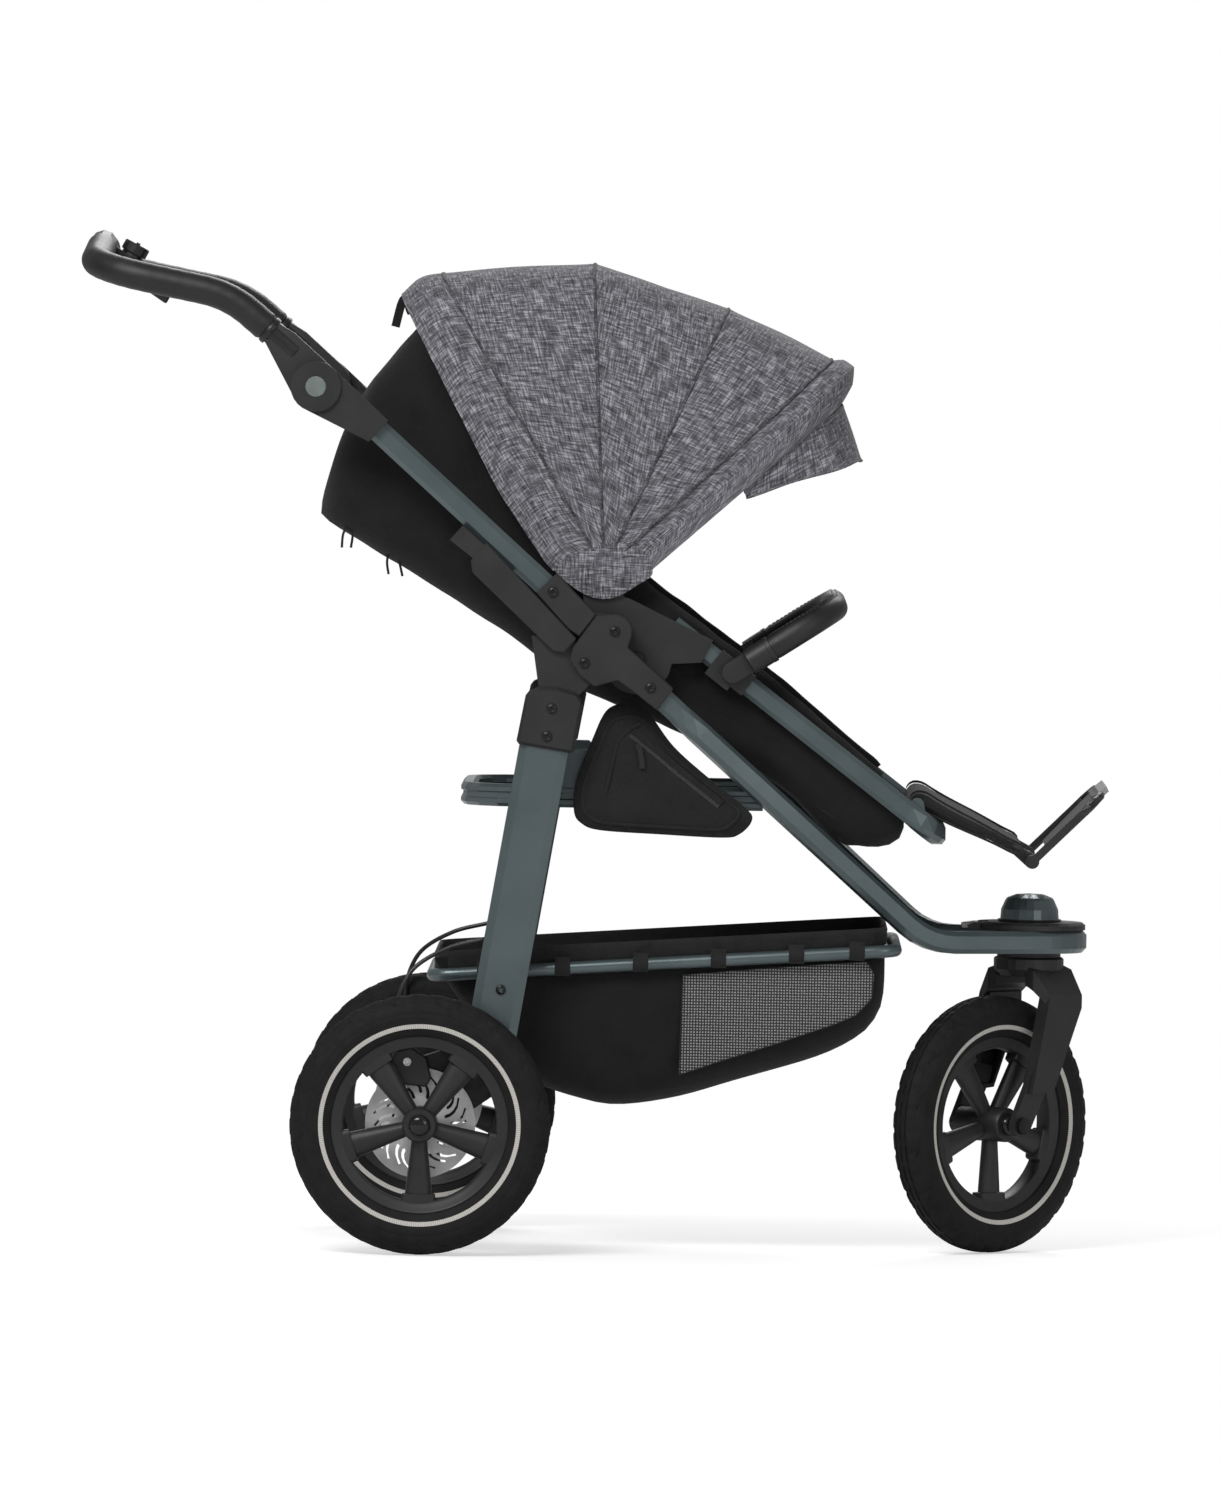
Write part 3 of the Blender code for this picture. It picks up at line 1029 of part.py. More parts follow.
def build_harness():
    """Shoulder and lap straps meeting in one buckle, lying just over the pad."""
    buckle = side_plate([(0.1960, 0.6900), (0.2200, 0.6820), (0.2250, 0.6930), (0.2010, 0.7020)],
                        -0.021, 0.021)
    harness = make_piece("harness", buckle, DARK_PLASTIC, SEAT)
    soften(harness, 0.002)
    for label, side in SIDES:
        points = [(0.2080, 0.010, 0.6960), (0.1500, 0.030, 0.7330), (0.0800, 0.050, 0.7730),
                  (0.0100, 0.056, 0.8230)]
        path = [Vector(on_side(side, *point)) for point in points]
        join(harness, "shoulder_" + label, sweep(
            path, bevelled_profile(0.034, 0.006, 0.002, 0.002), upright=(0.0, 0.0, 1.0)))
        lap = [Vector(on_side(side, *point))
               for point in ((0.2110, 0.014, 0.6900), (0.2080, 0.1100, 0.6900))]
        join(harness, "lap_" + label, sweep(lap, flat_strap(0.024)))
    crotch = [Vector((0.2150, 0.0, 0.6880)), Vector((0.2750, 0.0, 0.6640))]
    join(harness, "crotch_strap", sweep(crotch, flat_strap(0.028)))


# Bumper bar, footrest board and foot plate, each hinged on the seat frame

def build_bumper():
    pivot = make_pivot("bumper_tilt", (BUMPER_PIVOT[0], 0.0, BUMPER_PIVOT[1]), SEAT)
    rise = Vector((BUMPER_TOP[0] - BUMPER_PIVOT[0], 0.0, BUMPER_TOP[1] - BUMPER_PIVOT[1]))
    rise.normalize()
    start = (BUMPER_PIVOT[0] + rise.x * 0.026, BUMPER_PIVOT[1] + rise.z * 0.026)
    points = [(start[0], -BUMPER_Y, start[1]), (BUMPER_TOP[0], -BUMPER_Y, BUMPER_TOP[1]),
              (BUMPER_TOP[0], BUMPER_Y, BUMPER_TOP[1]), (start[0], BUMPER_Y, start[1])]
    path = rounded_path(points, (0.060, 0.060), (5, 5))
    bar = make_piece("bumper_bar", sweep(path, round_profile(BUMPER_RADIUS), upright=(0.0, 0.0, 1.0)),
                     GRIP_LEATHER, pivot)
    for label, side in SIDES:
        across = Vector((-rise.z, 0.0, rise.x)) * 0.0125
        shoulder = [(start[0] + sign * across.x + 0.008 * rise.x,
                     start[1] + sign * across.z + 0.008 * rise.z) for sign in (-1.0, 1.0)]
        knuckle = hull(arc_points(BUMPER_PIVOT, 0.0125, 0.0, 360.0, 14) + shoulder)
        join(bar, "knuckle_" + label, side_plate(knuckle, *span(side, SEAT_ARM_OUTER + CLEARANCE, 0.2150)))
        join(bar, "pin_" + label, rod(
            on_side(side, BUMPER_PIVOT[0], 0.1960, BUMPER_PIVOT[1]),
            on_side(side, BUMPER_PIVOT[0], 0.2060, BUMPER_PIVOT[1]), PIN_RADIUS))
        collar = Vector((start[0], side * BUMPER_Y, start[1])) + rise * 0.022
        join(bar, "collar_" + label, rod(collar, collar + rise * 0.0060, BUMPER_RADIUS + 0.0014))


def build_footrest():
    hinge = make_pivot("board_tilt", (BOARD_PIVOT[0], 0.0, BOARD_PIVOT[1]), SEAT)
    outline = [(0.5580, 0.5180), (0.5570, 0.5330), (0.5640, 0.5400), (0.5760, 0.5390), (0.6100, 0.5180),
               (0.6920, 0.4770), (0.6880, 0.4670), (0.6060, 0.5025), (0.5780, 0.5150), (0.5700, 0.5150)]
    board = make_piece("footrest_board", side_plate(outline, -0.1690, 0.1690), BLACK_FABRIC, hinge)
    soften(board, 0.003, 1, 40.0)
    join(board, "board_pin", rod(
        (BOARD_PIVOT[0], -0.1780, BOARD_PIVOT[1]), (BOARD_PIVOT[0], 0.1780, BOARD_PIVOT[1]), 0.0040, 12))
    ear = hull(arc_points(FOOT_PIVOT, 0.0085, 0.0, 360.0, 12) + [(0.6760, 0.4830), (0.6700, 0.4760)])
    for label, side in SIDES:
        join(board, "ear_" + label, side_plate(ear, *span(side, 0.120, 0.132)))
        cut(board, "ear_bore_" + label, rod(
            on_side(side, FOOT_PIVOT[0], 0.110, FOOT_PIVOT[1]),
            on_side(side, FOOT_PIVOT[0], 0.140, FOOT_PIVOT[1]), 0.0043, 12))
    build_foot_plate(make_pivot("foot_tilt", (FOOT_PIVOT[0], 0.0, FOOT_PIVOT[1]), hinge))


def build_foot_plate(pivot):
    top = (0.7790, 0.5370)
    points = [(FOOT_PIVOT[0], -FOOT_FRAME_Y, FOOT_PIVOT[1]), (top[0], -FOOT_FRAME_Y, top[1]),
              (top[0], FOOT_FRAME_Y, top[1]), (FOOT_PIVOT[0], FOOT_FRAME_Y, FOOT_PIVOT[1])]
    path = rounded_path(points, (0.030, 0.030), (4, 4))
    plate = make_piece("foot_plate", sweep(path, round_profile(0.0050, 8), upright=(0.0, 0.0, 1.0)),
                       BLACK_PLASTIC, pivot)
    join(plate, "cross_pin", rod(
        (FOOT_PIVOT[0], -FOOT_FRAME_Y, FOOT_PIVOT[1]), (FOOT_PIVOT[0], FOOT_FRAME_Y, FOOT_PIVOT[1]), 0.0040, 12))
    for label, side in SIDES:
        join(plate, "eye_" + label, rod(
            on_side(side, FOOT_PIVOT[0], FOOT_FRAME_Y - 0.0055, FOOT_PIVOT[1]),
            on_side(side, FOOT_PIVOT[0], FOOT_FRAME_Y + 0.0055, FOOT_PIVOT[1]), 0.0080, 14))
    join(plate, "web", side_plate(
        [(0.7180, 0.4745), (0.7200, 0.4725), (0.7795, 0.5345), (0.7765, 0.5365)], -0.1440, 0.1440))
    join(plate, "tip", side_plate(
        [(0.7700, 0.5350), (0.7750, 0.5290), (0.7890, 0.5420), (0.7860, 0.5480)], -0.1080, 0.1080))


# Canopy: fabric panels between bows that turn on one hinge, and the rolled brim in front

def canopy_reach(angle):
    """How far the middle of the canopy's roof lies from its hinge at an angle."""
    for (high, far), (low, near) in zip(CANOPY_REACH, CANOPY_REACH[1:]):
        if angle >= low:
            return near + (far - near) * min(1.0, (angle - low) / (high - low))
    return CANOPY_REACH[-1][1]


def canopy_lifts(reach):
    """How high each point of the squarish arch stands, as a share of the reach."""
    half = [0.025 / reach, 0.20, 0.40, 0.60, 0.75, 0.86, 0.93, 0.97, 0.99, 0.998]
    return half + [1.0] + half[::-1]


def arch_row(angle_at, reach, inset):
    """One row of points across the canopy; its angle may change with the distance from the hinge."""
    row = []
    lifts = canopy_lifts(reach)
    for index, lift in enumerate(lifts):
        sign = 1.0 if index > len(lifts) // 2 else -1.0
        thick = inset(lift)
        distance = (reach - thick) * lift if lift > 0.1 else 0.025
        across = sign * (CANOPY_OUTER - thick) * (1.0 - lift ** 5.0) ** 0.2
        angle = math.radians(angle_at(distance))
        row.append(Vector((CANOPY_PIVOT[0] + distance * math.cos(angle), across,
                           CANOPY_PIVOT[1] + distance * math.sin(angle))))
    return row


def closed_shell(outer, inner):
    """A thin wall between two matching grids of points, closed along its edges."""
    bm = bmesh.new()
    layers = [[[bm.verts.new(point) for point in row] for row in grid] for grid in (outer, inner)]
    rows, columns = len(outer), len(outer[0])
    for layer in layers:
        for row in range(rows - 1):
            for column in range(columns - 1):
                bm.faces.new((layer[row][column], layer[row][column + 1],
                              layer[row + 1][column + 1], layer[row + 1][column]))
    for row in range(rows - 1):
        for column in (0, columns - 1):
            bm.faces.new((layers[0][row][column], layers[0][row + 1][column],
                          layers[1][row + 1][column], layers[1][row][column]))
    for column in range(columns - 1):
        for row in (0, rows - 1):
            bm.faces.new((layers[0][row][column], layers[0][row][column + 1],
                          layers[1][row][column + 1], layers[1][row][column]))
    return bm


def rear_edge(distance):
    """Angle of the canopy's rear edge, which follows the rim of the tub."""
    return 128.2 + 1400.0 * max(0.0, 0.34 - distance) ** 3.0


def brim_edge(distance):
    """Angle of the brim's lower edge, a line that passes 36 mm below the hinge."""
    return 41.75 - math.degrees(math.asin(min(0.98, 0.036 / distance)))


def canopy_panel(name, high_angle, low_angle, rows, pivot):
    """A panel from one bow to the next; a bow is an angle, or a rule giving one."""
    outer, inner = [], []
    for number in range(rows + 1):
        share = number / rows

        def angle_at(distance):
            high = high_angle(distance) if callable(high_angle) else high_angle - seam_gap(distance)
            low = low_angle + seam_gap(distance)
            return high + (low - high) * share

        reach = canopy_reach(angle_at(0.36))
        outer.append(arch_row(angle_at, reach, lambda lift: 0.0))
        inner.append(arch_row(angle_at, reach, lambda lift: CANOPY_WALL))
    return make_piece(name, closed_shell(outer, inner), GREY_FABRIC, pivot)


def seam_gap(distance):
    return math.degrees(0.0003 / distance)


def build_canopy():
    first, second, third, seam = CANOPY_BOWS
    parent = SEAT
    canopy_panel("canopy_rear", rear_edge, first, 3, SEAT)
    panels = (("middle_rear", first, second), ("middle_front", second, third), ("front", third, seam))
    for name, high, low in panels:
        parent = make_pivot("canopy_fold_" + name, (CANOPY_PIVOT[0], 0.0, CANOPY_PIVOT[1]), parent)
        canopy_panel("canopy_" + name, high, low, 3, parent)
    outer, inner = [], []
    for share, reach in ((0.0, 0.3560), (0.2, 0.3650), (0.5, 0.3675), (0.8, 0.3550), (1.0, 0.3340)):
        def angle_at(distance):
            high = seam - seam_gap(distance)
            return high + (brim_edge(distance) - high) * share

        bulge = 0.026 * math.sin(math.pi * share)
        outer.append(arch_row(angle_at, reach, lambda lift: 0.0))
        inner.append(arch_row(
            angle_at, reach, lambda lift: CANOPY_WALL + bulge * min(1.0, max(0.0, (lift - 0.2) / 0.4))))
    brim = make_piece("canopy_brim", closed_shell(outer, inner), DARK_FABRIC, parent)
    edge = arch_row(brim_edge, 0.3400, lambda lift: 0.006)[3:-3]
    visor_outer, visor_inner = [], []
    for share in (0.0, 0.5, 1.0):
        row = []
        for point in edge:
            distance = math.hypot(point.x - CANOPY_PIVOT[0], point.z - CANOPY_PIVOT[1])
            along_edge = min(1.0, max(0.0, (distance - 0.190) / 0.140))
            low = Vector((0.366 + 0.127 * along_edge, point.y * 0.985, 0.868 + 0.052 * along_edge))
            row.append(point.lerp(low, share))
        visor_outer.append(row)
        visor_inner.append([point - Vector((0.0026, 0.0, 0.0014)) for point in row])
    join(brim, "visor", closed_shell(visor_outer, visor_inner))


build_front_frame()
build_hinge_plates()
build_seat_loop()
build_caster_head()
build_basket()
build_side_bag()
build_rear_frame()
build_brakes()
build_rear_wheels()
build_fork()
build_push_frame()
build_handlebar()
build_seat_frame()
build_tub()
build_pad()
build_harness()
build_bumper()
build_footrest()
build_canopy()
STROLLER.location.x = CENTRE_SHIFT
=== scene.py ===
"""Looks of the three-wheel stroller: every visible surface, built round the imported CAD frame.

The file follows the stroller as it is put together: frame, hinges, caster, wheels, basket, push frame,
handle, seat and canopy. Lengths are metres; x in the outlines is measured from the rear axle.
"""

import math

import bmesh
import bpy
import numpy as np
from mathutils import Matrix, Vector


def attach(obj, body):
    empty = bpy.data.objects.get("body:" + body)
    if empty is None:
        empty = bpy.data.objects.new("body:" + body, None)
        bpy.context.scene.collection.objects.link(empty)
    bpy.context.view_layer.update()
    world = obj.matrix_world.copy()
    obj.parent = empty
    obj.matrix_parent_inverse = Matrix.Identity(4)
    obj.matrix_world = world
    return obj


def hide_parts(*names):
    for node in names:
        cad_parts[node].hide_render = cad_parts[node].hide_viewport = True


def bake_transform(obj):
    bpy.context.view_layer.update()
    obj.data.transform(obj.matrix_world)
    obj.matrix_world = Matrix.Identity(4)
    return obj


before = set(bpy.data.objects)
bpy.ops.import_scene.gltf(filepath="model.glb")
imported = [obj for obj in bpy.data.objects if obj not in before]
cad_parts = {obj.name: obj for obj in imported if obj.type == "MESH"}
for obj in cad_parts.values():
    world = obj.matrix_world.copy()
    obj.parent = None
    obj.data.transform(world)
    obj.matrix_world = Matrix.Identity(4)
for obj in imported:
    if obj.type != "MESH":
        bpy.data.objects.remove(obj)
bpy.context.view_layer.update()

# Camera, floor and light.
# A long lens 17.5 m away, 1.8 degrees above level and rolled by one degree, as the photograph was taken.
# The floor is pale and shows to the camera as near white, with only a soft shadow under the wheels.

AXLE_X = -0.1898                                  # where the rear axle stands in the CAD frame


def at(x, z, y=0.0):
    """A place given by its x from the rear axle, its height and its y."""
    return Vector((x + AXLE_X, y, z))


camera_data = bpy.data.cameras.new("photo_camera")
camera_data.sensor_fit = "HORIZONTAL"
camera_data.sensor_width = 36.0
camera_data.lens = 15000.0 / 1220.0 * 36.0
camera_data.clip_end = 60.0
camera = bpy.data.objects.new("photo_camera", camera_data)
bpy.context.collection.objects.link(camera)
stand = at(0.3311558, 1.12574568, -17.49113895)
looks_at = at(0.209044, 0.576057, -0.0002)
ahead = (looks_at - stand).normalized()
level = ahead.cross(Vector((0.0, 0.0, 1.0))).normalized()
upward = level.cross(ahead)
roll = math.radians(1.04)
across = level * math.cos(roll) + upward * math.sin(roll)
above = upward * math.cos(roll) - level * math.sin(roll)
camera.matrix_world = Matrix((
    (across.x, above.x, -ahead.x, stand.x), (across.y, above.y, -ahead.y, stand.y),
    (across.z, above.z, -ahead.z, stand.z), (0.0, 0.0, 0.0, 1.0)))
bpy.context.scene.camera = camera
bpy.context.scene.view_settings.view_transform = "Standard"


def put(tree, kind, sockets=None, **settings):
    """Add a shader node; a socket's value may be a number, a colour or another node's output."""
    made = tree.nodes.new(kind)
    for name, value in settings.items():
        setattr(made, name, value)
    for name, value in (sockets or {}).items():
        if isinstance(value, bpy.types.NodeSocket):
            tree.links.new(value, made.inputs[name])
        else:
            made.inputs[name].default_value = value
    return made


def ramp(tree, value, *stops):
    """A colour ramp through (place, grey) or (place, colour) stops."""
    made = put(tree, "ShaderNodeValToRGB", {"Fac": value})
    band = made.color_ramp.elements
    while len(band) < len(stops):
        band.new(0.5)
    for element, (place, shade) in zip(band, stops):
        element.position = place
        element.color = (*shade, 1.0) if isinstance(shade, tuple) else (shade, shade, shade, 1.0)
    return made.outputs["Color"]


world = bpy.data.worlds.new("studio")
bpy.context.scene.world = world
world.use_nodes = True
sky = world.node_tree
sky.nodes.clear()
path_kind = put(sky, "ShaderNodeLightPath")
seen = put(sky, "ShaderNodeMath", {0: path_kind.outputs["Is Camera Ray"],
                                   1: path_kind.outputs["Is Transmission Ray"]}, operation="MAXIMUM")
strength = put(sky, "ShaderNodeMapRange", {"Value": seen.outputs[0], "From Min": 0.0, "From Max": 1.0,
                                           "To Min": 0.30, "To Max": 1.0})
lit = put(sky, "ShaderNodeBackground", {
    "Color": (1.0, 1.0, 1.0, 1.0), "Strength": strength.outputs["Result"]})
put(sky, "ShaderNodeOutputWorld", {"Surface": lit.outputs["Background"]})

floor_mesh = bpy.data.meshes.new("floor")
floor_mesh.from_pydata(
    [(-30, -30, -0.0005), (30, -30, -0.0005), (30, 30, -0.0005), (-30, 30, -0.0005)], [],
    [(0, 1, 2, 3)])
floor = bpy.data.objects.new("floor", floor_mesh)
bpy.context.collection.objects.link(floor)
floor_paint = bpy.data.materials.new("floor_paint")
floor_paint.use_nodes = True
tree = floor_paint.node_tree
tree.nodes.clear()
matt = put(tree, "ShaderNodeBsdfDiffuse", {"Color": (0.80, 0.80, 0.80, 1.0)})
glow = put(tree, "ShaderNodeEmission", {"Color": (1.0, 1.0, 1.0, 1.0), "Strength": 0.50})
both = put(tree, "ShaderNodeAddShader")
tree.links.new(matt.outputs[0], both.inputs[0])
tree.links.new(glow.outputs[0], both.inputs[1])
white = put(tree, "ShaderNodeEmission", {"Color": (1.0, 1.0, 1.0, 1.0), "Strength": 1.0})
spot = put(tree, "ShaderNodeNewGeometry")
away = put(tree, "ShaderNodeVectorMath", {0: spot.outputs["Position"]}, operation="LENGTH")
fade = put(tree, "ShaderNodeMapRange", {"Value": away.outputs["Value"], "From Min": 0.9, "From Max": 1.9},
           interpolation_type="SMOOTHSTEP")
near = put(tree, "ShaderNodeMixShader", {"Fac": fade.outputs["Result"]})
tree.links.new(both.outputs[0], near.inputs[1])
tree.links.new(white.outputs[0], near.inputs[2])
ray = put(tree, "ShaderNodeLightPath")
choice = put(tree, "ShaderNodeMixShader", {"Fac": ray.outputs["Is Camera Ray"]})
tree.links.new(matt.outputs[0], choice.inputs[1])
tree.links.new(near.outputs[0], choice.inputs[2])
put(tree, "ShaderNodeOutputMaterial", {"Surface": choice.outputs[0]})
floor_mesh.materials.append(floor_paint)


def soft_lamp(name, place, aim, size, watts):
    lamp_data = bpy.data.lights.new(name, "AREA")
    lamp_data.shape = "RECTANGLE"
    lamp_data.size, lamp_data.size_y = size
    lamp_data.energy = watts
    lamp = bpy.data.objects.new(name, lamp_data)
    bpy.context.collection.objects.link(lamp)
    way = (Vector(aim) - Vector(place)).normalized()
    lamp.matrix_world = Matrix.Translation(place) @ way.to_track_quat("-Z", "Y").to_matrix().to_4x4()


soft_lamp("key_from_above_left", (-1.6, -3.2, 3.6), (0.0, 0.0, 0.5), (2.2, 1.5), 120.0)
soft_lamp("fill_from_front", (2.6, -3.4, 1.6), (0.0, 0.0, 0.5), (1.8, 1.8), 22.0)
soft_lamp("rim_from_behind", (0.4, 3.2, 3.0), (0.0, 0.0, 0.6), (2.6, 1.4), 70.0)


# Frame tubes.
# Bent aluminium tubes of a flattened eight-sided section, stove-enamelled in a dark blue-grey metallic.
# They carry the legs, seat loop, seat frame and the cap over the caster; the rail under them is steel.

def finish(name, colour, roughness, metallic=0.0, **extra):
    """A material with its shader; extra sockets are set on the shader itself."""
    made = bpy.data.materials.new(name)
    made.use_nodes = True
    made.node_tree.nodes.clear()
    shader = put(made.node_tree, "ShaderNodeBsdfPrincipled", {
        "Base Color": (*colour, 1.0), "Roughness": roughness, "Metallic": metallic})
    for socket, value in extra.items():
        shader.inputs[socket.replace("_", " ").title().replace("Ior", "IOR")].default_value = value
    put(made.node_tree, "ShaderNodeOutputMaterial", {"Surface": shader.outputs["BSDF"]})
    return made, made.node_tree, shader


def speckle(tree, scale, detail, stretch=(1.0, 1.0, 1.0)):
    """Fine noise in the object's own coordinates, stretched along the axes if wanted."""
    place = put(tree, "ShaderNodeTexCoord")
    scaled = put(tree, "ShaderNodeMapping", {"Vector": place.outputs["Object"], "Scale": stretch})
    return put(tree, "ShaderNodeTexNoise", {
        "Vector": scaled.outputs["Vector"], "Scale": scale, "Detail": detail}).outputs["Fac"]


def raise_surface(tree, shader, height, distance, strength):
    """A relief on a finish, from a height."""
    bump = put(tree, "ShaderNodeBump", {"Height": height, "Distance": distance, "Strength": strength})
    tree.links.new(bump.outputs["Normal"], shader.inputs["Normal"])
    return bump


def raise_again(tree, shader, below, height, distance, strength):
    """A finer relief on top of another one."""
    bump = put(tree, "ShaderNodeBump", {"Height": height, "Distance": distance, "Strength": strength,
                                        "Normal": below.outputs["Normal"]})
    tree.links.new(bump.outputs["Normal"], shader.inputs["Normal"])


def tint(tree, shader, value, *stops):
    """Let a value choose the base colour between the stops."""
    tree.links.new(ramp(tree, value, *stops), shader.inputs["Base Color"])


def dull(tree, shader, value, low, high):
    """Let a value choose the roughness between two limits."""
    spread = put(tree, "ShaderNodeMapRange", {"Value": value, "To Min": low, "To Max": high})
    tree.links.new(spread.outputs["Result"], shader.inputs["Roughness"])


def grained(name, colour, roughness, grain, shades, metallic=0.0, **extra):
    """A finish with a (scale, detail, height, strength) grain and (scale, dark, light) patches."""
    made, tree, shader = finish(name, colour, roughness, metallic, **extra)
    scale, detail, height, strength = grain
    raise_surface(tree, shader, speckle(tree, scale, detail), height, strength)
    scale, dark, light = shades
    tint(tree, shader, speckle(tree, scale, 2.0), (0.3, dark), (0.7, light))
    return made


enamel, tree, shader = finish("blue_grey_enamel", (0.110, 0.142, 0.148), 0.34, 0.55,
                              coat_weight=0.30, coat_roughness=0.20)
tint(tree, shader, speckle(tree, 14.0, 2.0), (0.30, (0.098, 0.128, 0.134)), (0.70, (0.124, 0.158, 0.164)))
dull(tree, shader, speckle(tree, 2600.0, 1.0), 0.26, 0.42)
raise_surface(tree, shader, speckle(tree, 420.0, 2.0), 0.00006, 0.5)


def wear(node_name, material):
    """Give a carried-over CAD node its finish."""
    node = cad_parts[node_name]
    node.data.materials.clear()
    node.data.materials.append(material)


for node_name in ("front_frame_tube", "seat_loop_tube", "upper_tube_right", "upper_tube_left",
                  "rear_leg_right", "rear_leg_left", "seat_frame_tube"):
    wear(node_name, enamel)


# Moulded parts.
# Hinge plates, brackets, caps, arms and joints are glass-filled nylon with a fine spark-eroded grain. The
# bumper's clamps on the seat tube are of the same nylon, and the foot frame ends in a pale, milky tip.

moulded, tree, shader = finish("moulded_nylon", (0.020, 0.020, 0.021), 0.48)
patches = speckle(tree, 22.0, 3.0)
tint(tree, shader, patches, (0.30, 0.0125), (0.72, 0.0195))
dull(tree, shader, patches, 0.42, 0.56)
raise_surface(tree, shader, speckle(tree, 1500.0, 2.0), 0.00005, 0.5)

for side in ("right", "left"):
    for node_name in ("hinge_plate_", "upper_bracket_", "release_slide_", "handle_joint_", "seat_arm_",
                      "leg_cap_"):
        wear(node_name + side, moulded)
for node_name in ("caster_housing", "front_fork", "foot_plate"):
    wear(node_name, moulded)
pale_tip = grained("pale_tip", (0.42, 0.43, 0.42), 0.30, (500.0, 2.0, 0.00005, 0.5), (50.0, 0.36, 0.46),
                   transmission_weight=0.25)


def repaint(node_name, material, inside):
    """Give a second material to the faces of a CAD node whose corners all lie inside a region."""
    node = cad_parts[node_name]
    node.data.materials.append(material)
    for face in node.data.polygons:
        if all(inside(node.matrix_world @ node.data.vertices[index].co) for index in face.vertices):
            face.material_index = 1


clamp_middle, clamp_reach = at(0.3500, 0.6745), 0.045
repaint("seat_frame_tube", moulded,
        lambda q: math.hypot(q.x - clamp_middle.x, q.z - clamp_middle.z) < clamp_reach)
tip_start, tip_half_width = at(0.7760, 0.5320), 0.1085
repaint("foot_plate", pale_tip,
        lambda q: q.x + q.z > tip_start.x + tip_start.z and abs(q.y) < tip_half_width)

satin = grained("satin_black_plastic", (0.012, 0.012, 0.013), 0.40, (1100.0, 2.0, 0.00005, 0.5),
                (30.0, 0.0075, 0.0120))
for node_name in ("brake_caliper_right", "brake_caliper_left", "control_housing", "parking_dial",
                  "brake_lever"):
    wear(node_name, satin)

pressed = grained("grey_green_button", (0.155, 0.185, 0.172), 0.46, (1400.0, 2.0, 0.00006, 0.5),
                  (60.0, (0.135, 0.163, 0.151), (0.175, 0.207, 0.192)))
for side in ("right", "left"):
    wear("joint_button_" + side, pressed)


# Bolts.
# Black button-head screws with a hexagon socket hold the hinge plates, brackets, leg caps and legs.
# One screw is drawn once and a node tree sets it on every place, turned to face outwards.

def finished(bm, name, smooth_angle=None, outwards=True):
    """The finished mesh of a drawn one: faces outwards and smooth, with an edge kept sharp over an angle."""
    if outwards:
        bmesh.ops.recalc_face_normals(bm, faces=bm.faces)
    mesh = bpy.data.meshes.new(name)
    bm.to_mesh(mesh)
    bm.free()
    mesh.shade_smooth()
    if smooth_angle is not None:
        mesh.set_sharp_from_angle(angle=math.radians(smooth_angle))
    return mesh


def settle(made):
    """Bake an object's modifiers into a plain mesh."""
    bpy.context.view_layer.update()
    plain = bpy.data.meshes.new_from_object(made.evaluated_get(bpy.context.evaluated_depsgraph_get()))
    made.modifiers.clear()
    made.data = plain
    return plain


def revolve(name, profile, steps, closed=False):
    """A turned solid about Z from (radius, height) points; returns its mesh."""
    bm = bmesh.new()
    rings = []
    for step in range(steps):
        turn = 2.0 * math.pi * step / steps
        rings.append([bm.verts.new((r * math.cos(turn), r * math.sin(turn), z)) for r, z in profile])
    count = len(profile)
    for step in range(steps):
        here, there = rings[step], rings[(step + 1) % steps]
        for index in range(count if closed else count - 1):
            after = (index + 1) % count
            bm.faces.new((here[index], there[index], there[after], here[after]))
    bmesh.ops.remove_doubles(bm, verts=bm.verts, dist=1e-7)
    bmesh.ops.dissolve_degenerate(bm, edges=bm.edges, dist=1e-7)
    return finished(bm, name, 38.0)


blackened = grained("blackened_steel", (0.022, 0.022, 0.023), 0.36, (900.0, 2.0, 0.00004, 0.5),
                    (80.0, 0.016, 0.030), 0.7)
wear("rear_axle", blackened)
wear("front_axle", blackened)


def new_object(name, mesh, material=None):
    made = bpy.data.objects.new(name, mesh)
    bpy.context.collection.objects.link(made)
    if material is not None:
        mesh.materials.clear()
        mesh.materials.append(material)
    return made


def keep(made, body, slot, *nodes):
    """Hang a finished piece on its body and hide the nodes it stands for; the slot is not used."""
    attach(made, body)
    if nodes:
        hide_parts(*nodes)
    return made


screw_profile = [(0.0, -0.0010), (0.0024, -0.0010), (0.0026, 0.0021), (0.0034, 0.0026), (0.0048, 0.0022),
                 (0.0058, 0.0013), (0.0060, 0.0), (0.0060, -0.0015), (0.0, -0.0015)]


